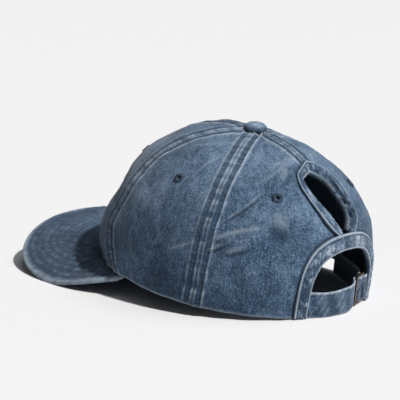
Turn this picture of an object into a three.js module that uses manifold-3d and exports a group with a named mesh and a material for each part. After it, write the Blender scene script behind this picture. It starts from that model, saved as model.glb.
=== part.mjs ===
// Ponytail baseball cap: six cloth panels, a curved peak, bound ponytail slit and arch, strap and slide.
// Millimetres, +Z up, the peak toward -Y, the wearer's left toward +X.
// Crown places are written as an angle in degrees (0 centre front, 90 wearer's left, 180 centre back)
// and a share of the crown's height (0 at the rim, 1 at the apex).

import * as THREE from "three";
import { mergeVertices } from "three/addons/utils/BufferGeometryUtils.js";
import Module from "manifold-3d";

const wasm = await Module();
wasm.setup();

// Crown
const crownHalfWidth = 82;
const crownHalfLength = 96.6;
const crownHeight = 100;
const apexSetback = 5.5;
const panelWall = 1.6;
const frontRoundness = 4.4;
const backRoundness = 3.2;
const sideRoundness = -0.87;
const profileRoundness = 1.65;
const frontSquareness = 0.26;
const frontFullness = 3.4;
const frontBulge = 6;

// Gap that sewn or touching pieces keep
const seamGap = 0.3;

// Seams between the panels on the wearer's left: angle at each share of the height
const frontSeam = [
  // share, angle
  [0, 69],
  [0.1, 66],
  [0.2, 62.5],
  [0.32, 59],
  [0.45, 57.5],
  [0.65, 57],
  [0.85, 54.5],
  [1, 53],
];
const backSeam = [
  [0, 111],
  [0.65, 112],
  [1, 113],
];

// Soft folds on the wearer's left, where the cloth has settled: lengths are shares of the crown height
const folds = [
  // angle, share, heading in degrees, length, width, depth inward
  { angle: 127, share: 0.645, heading: 36, length: 0.28, width: 0.05, depth: 0.022 },
  { angle: 121, share: 0.485, heading: 25, length: 0.27, width: 0.07, depth: -0.012 },
  { angle: 118, share: 0.385, heading: 40, length: 0.16, width: 0.06, depth: 0.016 },
  { angle: 143, share: 0.53, heading: 4, length: 0.3, width: 0.14, depth: 0.024 },
  { angle: 102, share: 0.36, heading: 27, length: 0.22, width: 0.06, depth: -0.01 },
];

// Ponytail arch at the centre back, and its binding
const archHalfAngle = 26.8;
const archTopShare = 0.52;
const archLegRoundness = 2.3;
const archTopRoundness = 4;
const archBindingWidth = 10;
const bindingRise = 0.7;

// Ponytail slit above the arch: half widths in degrees of the cut and of the bound opening
const slitCut = [
  // share, wearer's left, wearer's right
  [0.49, 4, 4],
  [0.545, 9, 8.5],
  [0.6, 12.5, 11.5],
  [0.67, 15.5, 12.5],
  [0.74, 19, 13.5],
  [0.8, 20.5, 14],
  [0.85, 17, 12.5],
];
const slitCutTop = 0.892;
const slitOpening = [
  [0.545, 0.8, 4.5],
  [0.6, 4.5, 9],
  [0.67, 8, 10.5],
  [0.74, 12.5, 10.5],
  [0.8, 14.5, 10.5],
  [0.835, 12.5, 9],
];
const slitOpeningTop = 0.862;

// How far the opening's edge sinks inward: the lip turns in further on the wearer's right
const slitSinkLeft = 2.5;
const slitSinkRight = 6;

// Peak
const peakHalfAngle = 74.5;
const peakHalfWidth = 93.1;
const peakWidestAhead = 82.9;
const peakTipAhead = 175.7;
const peakRoundness = 2.36;
const peakThickness = 2.8;
const peakSideDrop = 20.4;
const peakTipDrop = 3.5;
const peakCornerOut = 1;
const peakFrontPart = 0.62;
const peakDroopPower = 1.15;

// Top button
const buttonRadius = 7.8;
const buttonHeight = 4.6;
const shankRadius = 1.6;
const rivetRadius = 5;
const rivetHeight = 1;
const shankClearance = 1.4;
const buttonSideShare = 0.25;
const buttonUndercut = 1.2;

// Sewn eyelets, one in the middle of each panel
const eyeletShare = 0.728;
const eyeletRadius = 4.1;
const eyeletHoleRadius = 1.3;
const eyeletBarrelRadius = 2.2;
const eyeletRise = 0.9;
const eyeletFlange = 0.5;
const eyeletFlangeInset = 0.6;
const eyeletRounding = 0.4;
const eyeletSides = 16;
const eyeletAngles = { front: 28, side: 85.5, back: 144 };

// Adjusting strap, its slide and the tab that holds the slide
const strapWidth = 17;
const strapThickness = 1.2;
const strapBulge = 3;
const slideAngle = 194.4;
const slideHeight = 20.6;
const slideBar = 1.4;
const slideBarSpacing = 6;
const slideSink = 2;
const middleBarSink = 1.2;
const slideCorner = 1.6;
const slideInnerCorner = 0.4;

// The strap's free end lies inside the crown: angle, distance in from the skin, and height over the rim
const strapTail = [
  [212, 7.5, -1],
  [222, 9.5, -2.6],
  [232, 10.5, -4.2],
  [242, 9.5, -5.6],
  [250, 7.5, -6.6],
];
const strapSpans = 160;
const strapRiseFrom = 0.11;
const strapRiseTo = 0.3;
const tabFoldBack = 2.2;

// How far the resting cloth is pressed flat where it stands on the surface
const restPress = 0.6;

// Share of the height, just above the rim, where a piece beside the rim takes its outward direction
const aboveRim = 0.05;

// Colours from the photograph
const denim = new THREE.MeshStandardMaterial({ color: 0x5a6f92, roughness: 0.9, metalness: 0 });
const darkDenim = new THREE.MeshStandardMaterial({ color: 0x4a5d80, roughness: 0.9, metalness: 0 });
const bronze = new THREE.MeshStandardMaterial({ color: 0x8a6b4a, roughness: 0.35, metalness: 1 });

const wallMiddle = (panelWall - bindingRise) / 2;
const degreeLength = (crownHalfLength * Math.PI) / 180;

function clamp(value) {
  return Math.min(Math.max(value, 0), 1);
}

// Value of a table's column at a share, between its rows
function tableAt(table, share, column = 1) {
  const rows = table.filter((row) => row[0] <= share);
  const low = rows.length ? rows[rows.length - 1] : table[0];
  const high = table[rows.length] ?? low;
  const part = high === low ? 0 : clamp((share - low[0]) / (high[0] - low[0]));
  return low[column] + (high[column] - low[column]) * part;
}

function signedPower(value, power) {
  return Math.sign(value) * Math.abs(value) ** power;
}

// Outside of the smooth crown
function crownSkin(angle, share) {
  const ahead = Math.cos(THREE.MathUtils.degToRad(angle));
  const left = Math.sin(THREE.MathUtils.degToRad(angle));
  const front = clamp(ahead);
  const frontShare = (1 + ahead) / 2;
  const roundness = backRoundness + (frontRoundness - backRoundness) * frontShare + sideRoundness * left ** 2;
  const reach = Math.max(1 - Math.abs(share) ** roundness, 0) ** (1 / profileRoundness);
  const squareTop = 0.45;
  const plan = 2 / (2 + frontSquareness * clamp(1 - share / squareTop) * clamp(3 * ahead));
  const bulgeTop = 0.5;
  const bulge = frontBulge * front * Math.sin(Math.PI * clamp(share / bulgeTop));
  const fullness = frontFullness * front * 4 * reach * (1 - reach) * share;
  return new THREE.Vector3(
    crownHalfWidth * signedPower(left, plan) * reach,
    -crownHalfLength * signedPower(ahead, plan) * reach + apexSetback * share - bulge,
    crownHeight * share + fullness,
  );
}

// Outward direction of a surface given as a function of angle and share
function surfaceNormal(surface, angle, share) {
  const turn = 0.5;
  const step = 0.0005;
  const along = surface(angle + turn, share).sub(surface(angle - turn, share));
  const up = surface(angle, share + step).sub(surface(angle, share - step));
  return along.cross(up).normalize();
}

// How far the folds press the cloth inward at a place
function foldDepth(angle, share) {
  let depth = 0;
  for (const fold of folds) {
    const heading = THREE.MathUtils.degToRad(fold.heading);
    const along = ((angle - fold.angle) * degreeLength) / crownHeight;
    const up = share - fold.share;
    const lengthwise = (along * Math.cos(heading) + up * Math.sin(heading)) / (fold.length / 2);
    const across = (up * Math.cos(heading) - along * Math.sin(heading)) / fold.width;
    depth += fold.depth * crownHeight * Math.exp(-(lengthwise ** 2) - across ** 2);
  }
  return depth;
}

// Outside of the crown's cloth with its folds
function crownCloth(angle, share) {
  const normal = surfaceNormal(crownSkin, angle, share);
  return crownSkin(angle, share).addScaledVector(normal, -foldDepth(angle, share));
}

function crownNormal(angle, share) {
  return surfaceNormal(crownCloth, angle, share);
}

// Point of the crown, a depth inward from its outside
function crownPoint(angle, share, depth = 0) {
  return crownCloth(angle, share).addScaledVector(crownNormal(angle, share), -depth);
}

// Share of the height where the crown comes within a radius of the apex
function shareAtRadius(angle, radius) {
  let low = 0;
  let high = 1;
  for (let step = 0; step < 40; step += 1) {
    const middle = (low + high) / 2;
    const point = crownSkin(angle, middle);
    const away = Math.hypot(point.x, point.y - apexSetback * middle);
    if (away > radius) low = middle;
    else high = middle;
  }
  return high;
}

// Values between 0 and 1 at which a curve, given as a function of 0 to 1, has run even lengths
function evenParts(curve, spans) {
  const fine = 240;
  const run = [0];
  let before = curve(0);
  for (let step = 1; step <= fine; step += 1) {
    const point = curve(step / fine);
    run.push(run[step - 1] + point.distanceTo(before));
    before = point;
  }
  return Array.from({ length: spans + 1 }, (_, span) => {
    const target = (run[fine] * span) / spans;
    const past = run.findIndex((length) => length >= target);
    const high = past > 0 ? past : Math.sign(span) * fine || 1;
    const part = clamp((target - run[high - 1]) / (run[high] - run[high - 1]));
    return (high - 1 + part) / fine;
  });
}

function evenPoints(curve, spans) {
  return evenParts(curve, spans).map(curve);
}

// Closed solid between an outer and an inner grid: place(row, column, side), side 0 outside and 1 inside
function sheetSolid(rows, columns, place) {
  const positions = [];
  const wide = columns + 1;
  const layer = (rows + 1) * wide;
  for (const side of [0, 1]) {
    for (let row = 0; row <= rows; row += 1) {
      for (let column = 0; column <= columns; column += 1) {
        positions.push(...place(row, column, side).toArray());
      }
    }
  }
  const index = [];
  const quad = (a, b, c, d) => index.push(a, b, c, a, c, d);
  for (let row = 0; row < rows; row += 1) {
    for (let column = 0; column < columns; column += 1) {
      const a = row * wide + column;
      quad(a, a + 1, a + wide + 1, a + wide);
      quad(layer + a, layer + a + wide, layer + a + wide + 1, layer + a + 1);
    }
  }
  for (let column = 0; column < columns; column += 1) {
    const top = rows * wide + column;
    quad(column, layer + column, layer + column + 1, column + 1);
    quad(top, top + 1, layer + top + 1, layer + top);
  }
  for (let row = 0; row < rows; row += 1) {
    const first = row * wide;
    const last = first + columns;
    quad(first, first + wide, layer + first + wide, layer + first);
    quad(last, layer + last, layer + last + wide, last + wide);
  }
  return closedGeometry(positions, index);
}

// Geometry from positions and triangles, with its faces turned outward
function closedGeometry(positions, index) {
  const corner = (at) => new THREE.Vector3(...positions.slice(3 * index[at], 3 * index[at] + 3));
  let volume = 0;
  for (let at = 0; at < index.length; at += 3) {
    volume += corner(at).dot(corner(at + 1).cross(corner(at + 2)));
  }
  const turned = [];
  for (let at = 0; at < index.length; at += 3) {
    const [a, b, c] = index.slice(at, at + 3);
    turned.push(...(volume > 0 ? [a, b, c] : [a, c, b]));
  }
  const geometry = new THREE.BufferGeometry();
  geometry.setAttribute("position", new THREE.Float32BufferAttribute(positions, 3));
  geometry.setIndex(turned);
  return geometry;
}

function toManifold(geometry) {
  const bare = geometry.clone();
  bare.deleteAttribute("normal");
  bare.deleteAttribute("uv");
  const merged = mergeVertices(bare, 0.0001);
  return new wasm.Manifold(
    new wasm.Mesh({
      numProp: 3,
      vertProperties: Float32Array.from(merged.attributes.position.array),
      triVerts: Uint32Array.from(merged.index.array),
    }),
  );
}

function fromManifold(solid) {
  const mesh = solid.getMesh();
  const geometry = new THREE.BufferGeometry();
  geometry.setAttribute("position", new THREE.Float32BufferAttribute(mesh.vertProperties, 3));
  geometry.setIndex(Array.from(mesh.triVerts));
  return geometry;
}

function cut(geometry, tools) {
  let solid = toManifold(geometry);
  for (const tool of tools) solid = solid.subtract(toManifold(tool));
  return fromManifold(solid);
}

function join(geometries) {
  const [first, ...others] = geometries.map(toManifold);
  return fromManifold(others.reduce((solid, other) => solid.add(other), first));
}

// Back openings: outlines in millimetres, x toward the wearer's left and y up the crown
function backPoint(place, depth) {
  return crownPoint(180 - place.x / degreeLength, place.y / crownHeight, depth);
}

// Arch outline from the wearer's left foot over the top to the right foot, moved inward by an offset
function archOutline(offset, spans) {
  const halfWidth = archHalfAngle * degreeLength - offset;
  const top = archTopShare * crownHeight - offset;
  const curve = (part) => {
    const turn = Math.PI * (part - 0.5);
    const sideways = -halfWidth * signedPower(Math.sin(turn), 2 / archLegRoundness);
    return new THREE.Vector2(sideways, top * Math.abs(Math.cos(turn)) ** (2 / archTopRoundness));
  };
  return evenPoints(curve, spans);
}

// Half width of the bound arch at a height
function archHalfWidth(height) {
  const halfWidth = archHalfAngle * degreeLength - archBindingWidth;
  const top = archTopShare * crownHeight - archBindingWidth;
  return halfWidth * (1 - (height / top) ** archTopRoundness) ** (1 / archLegRoundness);
}

// Slit outline from the lower left round the top to the lower right, moved outward by an offset
function slitOutline(table, topShare, offset, spans) {
  const left = table.map((row) => [row[1] * degreeLength + offset, row[0] * crownHeight]);
  const right = table.map((row) => [-row[2] * degreeLength - offset, row[0] * crownHeight]);
  const top = [0, topShare * crownHeight + offset];
  const places = [...left, top, ...right.reverse()].map((place) => new THREE.Vector2(...place));
  const curve = new THREE.SplineCurve(places);
  return evenPoints((part) => curve.getPoint(part), spans);
}

// Solid that cuts an outline square through the crown's wall
function outlineCutter(outline) {
  const outside = -26;
  const inside = 14;
  const count = outline.length;
  const rings = [outside, inside].map((depth) => outline.map((place) => backPoint(place, depth)));
  const positions = rings.flat().flatMap((point) => point.toArray());
  const index = [];
  for (const [a, b, c] of THREE.ShapeUtils.triangulateShape(outline, [])) {
    index.push(a, b, c, count + a, count + c, count + b);
  }
  const turn = THREE.ShapeUtils.isClockWise(outline) ? -1 : 1;
  for (let at = 0; at < count; at += 1) {
    const next = (at + 1) % count;
    const wall = [at, count + at, count + next, at, count + next, next];
    index.push(...(turn > 0 ? wall : wall.reverse()));
  }
  return closedGeometry(positions, index);
}

// Binding between two outlines of equal count; the inner edge sinks by a depth
function bindingSolid(outer, inner, sinkLeft, sinkRight) {
  const across = 3;
  const reach = Math.max(...outer.map((place) => Math.abs(place.x)));
  return sheetSolid(outer.length - 1, across, (row, column, side) => {
    const part = column / across;
    const place = outer[row].clone().lerp(inner[row], part);
    const depth = side === 0 ? -bindingRise : panelWall;
    const toLeft = THREE.MathUtils.smoothstep(outer[row].x, -reach, reach);
    const sink = THREE.MathUtils.lerp(sinkRight, sinkLeft, toLeft);
    return backPoint(place, depth + sink * part ** 1.5);
  });
}

// One crown panel between two seams, mirrored for the wearer's right
function panelSolid(seamFrom, seamTo, columns, mirror) {
  const rows = 15;
  const apexClearance = shankRadius + shankClearance;
  const lastSeamShare = 0.99;
  const paths = [];
  for (let column = 0; column <= columns; column += 1) {
    const part = column / columns;
    const angleAt = (share) => {
      const from = seamFrom(share);
      const to = seamTo(share);
      const skin = crownSkin((from + to) / 2, share);
      const radius = Math.hypot(skin.x, skin.y - apexSetback * share);
      const inset = THREE.MathUtils.radToDeg(seamGap / 2 / radius);
      return from + inset + (to - from - 2 * inset) * part;
    };
    const topShare = shareAtRadius(angleAt(lastSeamShare), apexClearance);
    const shareAt = (run) => topShare * (1 - (1 - run) ** 2);
    const climb = (run) => crownSkin(angleAt(shareAt(run)), shareAt(run));
    const shares = evenParts(climb, rows).map(shareAt);
    paths.push(shares.map((share) => ({ angle: angleAt(share), share })));
  }
  return sheetSolid(rows, columns, (row, column, side) => {
    const { angle, share } = paths[column][row];
    const point = crownPoint(mirror > 0 ? angle : 360 - angle, share, side * panelWall);
    if (row === 0) point.z = 0;
    return point;
  });
}

// Frame on the crown: local +Z points out of the cloth
function standOnCrown(object, angle, share, depth) {
  object.position.copy(crownPoint(angle, share, depth));
  const normal = crownNormal(angle, share);
  object.quaternion.setFromUnitVectors(new THREE.Vector3(0, 0, 1), normal);
  object.updateMatrix();
  return object;
}

// Lathe about local Z from a profile of [radius, height] pairs
function turned(profile, segments) {
  const points = profile.map(([radius, height]) => new THREE.Vector2(radius, height));
  return new THREE.LatheGeometry(points, segments).rotateX(Math.PI / 2);
}

function eyeletGeometry() {
  const under = 1.5 * seamGap;
  const inside = -panelWall - under;
  const flange = eyeletRadius - eyeletFlangeInset;
  const profile = [
    [eyeletHoleRadius, inside - eyeletFlange],
    [flange, inside - eyeletFlange],
    [flange, inside],
    [eyeletBarrelRadius, inside],
    [eyeletBarrelRadius, under],
    [eyeletRadius, under],
    [eyeletRadius - eyeletRounding, under + eyeletRise * 0.7],
    [(eyeletRadius + eyeletHoleRadius) / 2, under + eyeletRise],
    [eyeletHoleRadius, under + eyeletRise * 0.6],
  ];
  return turned([...profile, profile[0]], eyeletSides);
}

// Hole for an eyelet's barrel
function eyeletCutter(angle) {
  const reach = 12;
  const hole = new THREE.CylinderGeometry(
    eyeletBarrelRadius + seamGap,
    eyeletBarrelRadius + seamGap,
    reach,
    eyeletSides,
  ).rotateX(Math.PI / 2);
  const stand = standOnCrown(new THREE.Object3D(), angle, eyeletShare, 0);
  return hole.applyMatrix4(stand.matrix);
}

// Highest outside or lowest inside of the crown's cloth at a radius round the apex
function apexHeights(radius, depth) {
  const turns = Array.from({ length: 24 }, (_, step) => step * 15);
  return turns.map((angle) => crownPoint(angle, shareAtRadius(angle, radius), depth).z);
}

function buttonGeometry(seat) {
  const dome = [];
  const domeSteps = 6;
  for (let step = 0; step <= domeSteps; step += 1) {
    const turn = (Math.PI / 2) * (step / domeSteps);
    const height = seamGap + buttonHeight * (buttonSideShare + (1 - buttonSideShare) * Math.sin(turn));
    dome.push([buttonRadius * Math.cos(turn), height]);
  }
  dome[domeSteps][0] = 0;
  const inside = Math.min(...apexHeights(rivetRadius, panelWall)) - seat - seamGap;
  const profile = [
    [0, inside - rivetHeight],
    [rivetRadius, inside - rivetHeight],
    [rivetRadius, inside],
    [shankRadius, inside],
    [shankRadius, seamGap],
    [buttonRadius - buttonUndercut, seamGap],
    ...dome,
  ];
  return turned(profile, 24);
}

// Outline of the peak's free edge, 0 at centre front to 1 where it meets the rim
function peakEdge(part) {
  const rim = crownSkin(peakHalfAngle, 0);
  const corner = new THREE.Vector2(rim.x + peakCornerOut, rim.y - seamGap);
  if (part <= peakFrontPart) {
    const turn = (Math.PI / 2) * (part / peakFrontPart);
    const ahead = Math.cos(turn) ** (2 / peakRoundness);
    return new THREE.Vector2(
      peakHalfWidth * Math.sin(turn) ** (2 / peakRoundness),
      -peakWidestAhead - (peakTipAhead - peakWidestAhead) * ahead,
    );
  }
  const back = (part - peakFrontPart) / (1 - peakFrontPart);
  return new THREE.Vector2(
    peakHalfWidth + (corner.x - peakHalfWidth) * back ** 2,
    -peakWidestAhead + (corner.y + peakWidestAhead) * back,
  );
}

// Top of the peak's free edge below the rim's plane
function peakEdgeHeight(place) {
  const corner = crownSkin(peakHalfAngle, 0).y;
  const tip = clamp((-crownHalfLength - place.y) / (peakTipAhead - crownHalfLength));
  const along = clamp((corner - place.y) / (0.7 * (peakTipAhead - crownHalfLength + 10)));
  const aside = (place.x / peakHalfWidth) ** 2;
  return -seamGap - peakTipDrop * tip - (peakSideDrop - seamGap) * aside * along ** 0.8;
}

function peakGeometry() {
  const halfColumns = 18;
  const fanRows = 7;
  const edges = evenPoints(peakEdge, halfColumns);
  return sheetSolid(fanRows + 1, 2 * halfColumns, (row, column, side) => {
    const across = column - halfColumns;
    const mirror = Math.sign(across) || 1;
    const part = Math.abs(across) / halfColumns;
    const rim = crownSkin(peakHalfAngle * part, 0);
    const edge = edges[Math.abs(across)];
    const edgeHeight = peakEdgeHeight(edge);
    const point = new THREE.Vector3();
    if (row === 0) {
      point.copy(crownPoint(peakHalfAngle * part, 0, panelWall));
      point.z = -seamGap;
    } else {
      const out = (row - 1) / fanRows;
      point.set(
        rim.x + (edge.x - rim.x) * out,
        rim.y + (edge.y - rim.y) * out,
        -seamGap + (edgeHeight + seamGap) * out ** peakDroopPower,
      );
    }
    point.x *= mirror;
    point.z -= side * peakThickness;
    return point;
  });
}

// Plan point near the rim, outward from the crown's skin
function rimPlace(angle, outward) {
  const normal = crownNormal(angle, aboveRim).setZ(0).normalize();
  return crownSkin(angle, 0).addScaledVector(normal, outward).setZ(0);
}

// Upright strip along a plan path: the path runs through the middle of the cloth
function stripSolid(path, spans, bottomAt, width) {
  const curve = new THREE.CatmullRomCurve3(path, false, "centripetal");
  const places = evenPoints((part) => curve.getPoint(part), spans);
  const up = new THREE.Vector3(0, 0, 1);
  return sheetSolid(spans, 1, (row, column, side) => {
    const before = places[Math.max(row - 1, 0)];
    const after = places[Math.min(row + 1, spans)];
    const across = after.clone().sub(before).cross(up).normalize();
    const point = places[row].clone().addScaledVector(across, (0.5 - side) * strapThickness);
    point.z += bottomAt(row / spans) + width * column;
    return point;
  });
}

const underBar = slideBar / 2 + 1.5 * seamGap + strapThickness / 2;
const slideBottom = (slideHeight - strapWidth + restPress) / 2;
const strapEndClear = 2 * seamGap;
const strapReach = (archHalfWidth(slideBottom + strapWidth) - strapEndClear) / degreeLength;

// Plan point beside the slide, along the strap toward the tab
function slidePlace(along, outward) {
  return rimPlace(slideAngle + along / degreeLength, outward - slideSink);
}

// Strap from the left leg, under the slide's first bar, over its middle bar and inside the tab
function strapGeometry() {
  const start = 180 - strapReach;
  const half = strapThickness / 2;
  const tailSink = -underBar - strapThickness - seamGap;
  const path = [
    rimPlace(start, -wallMiddle),
    rimPlace(start + 6, strapBulge * 0.5),
    rimPlace(start + 13, strapBulge * 0.9),
    rimPlace(180, strapBulge),
    slidePlace(-2.4 * slideBarSpacing, strapBulge * 0.7),
    slidePlace(-slideBarSpacing - slideBar, -underBar),
    slidePlace(-slideBarSpacing + half, -underBar),
    slidePlace(-slideBar * 0.7, underBar - middleBarSink),
    slidePlace(slideBar * 0.6, underBar - middleBarSink),
    slidePlace(underBar + seamGap, half - middleBarSink),
    slidePlace(underBar + seamGap + half / 2, -half - middleBarSink),
    slidePlace(slideBarSpacing - 3 * half, tailSink + 0.1),
    slidePlace(slideBarSpacing, tailSink),
    slidePlace(2 * slideBarSpacing, tailSink - half),
    ...strapTail.map(([angle, inward, height]) => rimPlace(angle, -inward).setZ(height - slideBottom)),
  ];
  const rise = (part) => slideBottom * THREE.MathUtils.smoothstep(part, strapRiseFrom, strapRiseTo);
  return stripSolid(path, strapSpans, rise, strapWidth);
}

// Tab from the right leg, looped round the slide's last bar
function tabGeometry() {
  const barAngle = slideAngle + slideBarSpacing / degreeLength;
  const start = 180 + strapReach;
  const bar = rimPlace(barAngle, -slideSink);
  const outward = crownNormal(barAngle, aboveRim).setZ(0).normalize();
  const toMiddle = new THREE.Vector3(outward.y, -outward.x, 0);
  const path = [rimPlace(start, -wallMiddle), rimPlace((start + barAngle) / 2, underBar - slideSink)];
  const loopSteps = 6;
  for (let step = 0; step <= loopSteps; step += 1) {
    const turn = (Math.PI * step) / loopSteps;
    path.push(
      bar
        .clone()
        .addScaledVector(outward, underBar * Math.cos(turn))
        .addScaledVector(toMiddle, underBar * Math.sin(turn)),
    );
  }
  path.push(bar.clone().addScaledVector(outward, -underBar).addScaledVector(toMiddle, -tabFoldBack));
  return stripSolid(path, 22, () => slideBottom, strapWidth);
}

// Flat three-bar slide, local X along the strap and local Z outward
function slideGeometry() {
  const width = 2 * slideBarSpacing + slideBar;
  const rounded = (shape, halfWidth, halfHeight, radius) => {
    shape.moveTo(-halfWidth + radius, -halfHeight);
    shape.lineTo(halfWidth - radius, -halfHeight);
    shape.absarc(halfWidth - radius, -halfHeight + radius, radius, -Math.PI / 2, 0);
    shape.absarc(halfWidth - radius, halfHeight - radius, radius, 0, Math.PI / 2);
    shape.absarc(-halfWidth + radius, halfHeight - radius, radius, Math.PI / 2, Math.PI);
    shape.absarc(-halfWidth + radius, -halfHeight + radius, radius, Math.PI, 1.5 * Math.PI);
    return shape;
  };
  const frame = rounded(new THREE.Shape(), width / 2, slideHeight / 2, slideCorner);
  frame.holes.push(
    rounded(new THREE.Path(), width / 2 - slideBar, slideHeight / 2 - slideBar, slideInnerCorner),
  );
  const options = { depth: slideBar, bevelEnabled: false, curveSegments: 4 };
  const ring = new THREE.ExtrudeGeometry(frame, options).translate(0, 0, -slideBar / 2);
  const barHeight = slideHeight - slideBar;
  const bar = new THREE.BoxGeometry(slideBar, barHeight, slideBar).translate(0, 0, -middleBarSink);
  const posts = [-1, 1].map((end) =>
    new THREE.BoxGeometry(slideBar, slideBar, middleBarSink + slideBar).translate(
      0,
      (end * barHeight) / 2,
      -middleBarSink / 2,
    ),
  );
  return join([ring, bar, ...posts]);
}

// Seams as functions of the share
const centreFront = () => 0;
const centreBack = () => 180;
const frontSeamAt = (share) => tableAt(frontSeam, share);
const backSeamAt = (share) => tableAt(backSeam, share);

const cap = new THREE.Group();

function addPiece(name, geometry, material) {
  const mesh = new THREE.Mesh(geometry, material);
  mesh.name = name;
  cap.add(mesh);
  return mesh;
}

// Openings that the back panels give way to
const archSpans = 26;
const archEdge = archOutline(0, archSpans);
const closeBelow = (outline) => {
  const below = -12;
  const first = outline[0];
  const last = outline[outline.length - 1];
  return [...outline, new THREE.Vector2(last.x, below), new THREE.Vector2(first.x, below)];
};
const archCutter = outlineCutter(closeBelow(archOutline(-seamGap, archSpans)));
const slitSpans = 40;
const slitCutter = outlineCutter(slitOutline(slitCut, slitCutTop, seamGap, slitSpans));

const panels = [
  { name: "front_panel", from: centreFront, to: frontSeamAt, columns: 11, eyelet: "front" },
  { name: "side_panel", from: frontSeamAt, to: backSeamAt, columns: 11, eyelet: "side" },
  { name: "back_panel", from: backSeamAt, to: centreBack, columns: 13, eyelet: "back" },
];
for (const [side, mirror] of [["left", 1], ["right", -1]]) {
  for (const panel of panels) {
    const angle = mirror > 0 ? eyeletAngles[panel.eyelet] : 360 - eyeletAngles[panel.eyelet];
    const cloth = panelSolid(panel.from, panel.to, panel.columns, mirror);
    const openings = panel.name === "back_panel" ? [archCutter, slitCutter] : [];
    addPiece(`${panel.name}_${side}`, cut(cloth, [eyeletCutter(angle), ...openings]), denim);
    const eyelet = addPiece(`eyelet_${panel.eyelet}_${side}`, eyeletGeometry(), darkDenim);
    standOnCrown(eyelet, angle, eyeletShare, 0);
  }
}

addPiece("arch_binding", bindingSolid(archEdge, archOutline(archBindingWidth, archSpans), 0, 0), denim);
const slitEdge = slitOutline(slitCut, slitCutTop, 0, slitSpans);
const slitInner = slitOutline(slitOpening, slitOpeningTop, 0, slitSpans);
addPiece("slit_binding", cut(bindingSolid(slitEdge, slitInner, slitSinkLeft, slitSinkRight), [archCutter]), denim);

const buttonSeat = Math.max(...apexHeights(buttonRadius, 0), ...apexHeights(buttonRadius / 2, 0));
const button = addPiece("top_button", buttonGeometry(buttonSeat), denim);
button.position.set(0, apexSetback, buttonSeat);

const peak = addPiece("peak", peakGeometry(), denim);
addPiece("strap", strapGeometry(), denim);
addPiece("strap_tab", tabGeometry(), denim);

const slide = addPiece("strap_slide", slideGeometry(), bronze);
const slideOut = crownNormal(slideAngle, aboveRim).setZ(0).normalize();
slide.position.copy(rimPlace(slideAngle, -slideSink)).setZ(slideBottom + strapWidth / 2);
slide.quaternion.setFromRotationMatrix(
  new THREE.Matrix4().makeBasis(
    new THREE.Vector3(-slideOut.y, slideOut.x, 0),
    new THREE.Vector3(0, 0, 1),
    slideOut,
  ),
);

// The cap rests on its strap and on the peak's two side edges, so its front is tipped up
const rearRest = crownHalfLength + strapBulge;
const peakPlaces = peak.geometry.attributes.position;
let slope = 0;
for (let at = 0; at < peakPlaces.count; at += 1) {
  slope = Math.max(slope, -peakPlaces.getZ(at) / (rearRest - peakPlaces.getY(at)));
}
const tip = Math.atan(slope);

// Cloth below the surface is pressed flat onto it
for (const mesh of cap.children) {
  if (mesh.position.lengthSq() > 0) continue;
  const places = mesh.geometry.attributes.position;
  for (let at = 0; at < places.count; at += 1) {
    const surface = restPress - slope * (rearRest - places.getY(at));
    places.setZ(at, Math.max(places.getZ(at), surface));
  }
}
for (const mesh of cap.children) mesh.geometry.computeVertexNormals();

cap.rotation.x = -tip;
cap.position.z = rearRest * Math.sin(tip) - restPress * Math.cos(tip);

// The origin is the middle of the resting cap, on the surface
const model = new THREE.Group();
model.add(cap);
model.updateMatrixWorld(true);
const box = new THREE.Box3().setFromObject(model, true);
const middle = box.getCenter(new THREE.Vector3());
cap.position.x -= middle.x;
cap.position.y -= middle.y;
model.updateMatrixWorld(true);

export default model;
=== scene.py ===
# %% [markdown]
# # A washed denim ponytail cap
# A soft cap of six cloth panels with a curved peak, a bound ponytail slit above a bound arch, and a strap
# with a bronze slide. The measured model comes first as a fixed frame. Every cloth piece is then made
# again round it as fine cloth, with seams, stitches, puckers and wear, and stands for its plain solid.

import bpy
import numpy as np
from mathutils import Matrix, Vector
from mathutils.bvhtree import BVHTree


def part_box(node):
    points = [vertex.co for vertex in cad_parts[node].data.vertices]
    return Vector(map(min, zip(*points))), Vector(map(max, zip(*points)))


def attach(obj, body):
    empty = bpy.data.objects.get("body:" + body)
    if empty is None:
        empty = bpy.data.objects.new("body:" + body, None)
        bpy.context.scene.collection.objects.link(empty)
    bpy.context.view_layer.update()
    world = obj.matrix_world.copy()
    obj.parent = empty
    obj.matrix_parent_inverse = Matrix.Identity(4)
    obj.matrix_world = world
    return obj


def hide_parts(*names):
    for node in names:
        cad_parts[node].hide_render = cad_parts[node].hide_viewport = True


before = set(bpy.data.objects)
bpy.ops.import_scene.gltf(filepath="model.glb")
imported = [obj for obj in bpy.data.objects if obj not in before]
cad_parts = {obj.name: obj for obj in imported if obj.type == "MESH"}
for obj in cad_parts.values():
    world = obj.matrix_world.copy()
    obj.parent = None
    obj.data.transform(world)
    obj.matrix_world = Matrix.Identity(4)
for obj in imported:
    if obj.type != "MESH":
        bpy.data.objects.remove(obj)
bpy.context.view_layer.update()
print("measured pieces:", len(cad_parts))

# %% [markdown]
# ## Camera, floor and light
# The photograph looks at the cap from behind its left side and a little above it, through a long lens.
# The camera stands where that view was measured. A long lens keeps the panels' proportions, so the
# distance and the lens were settled together.

# %% Camera
MM = 0.001
view_azimuth = np.radians(134)
view_elevation = np.radians(15.15)
view_distance = 852.6 * MM
lens_length = 109.7
crown_centre = Vector((0, 36.77 * MM, 0))
aim_right = -0.0302
aim_up = 0.0684

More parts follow.
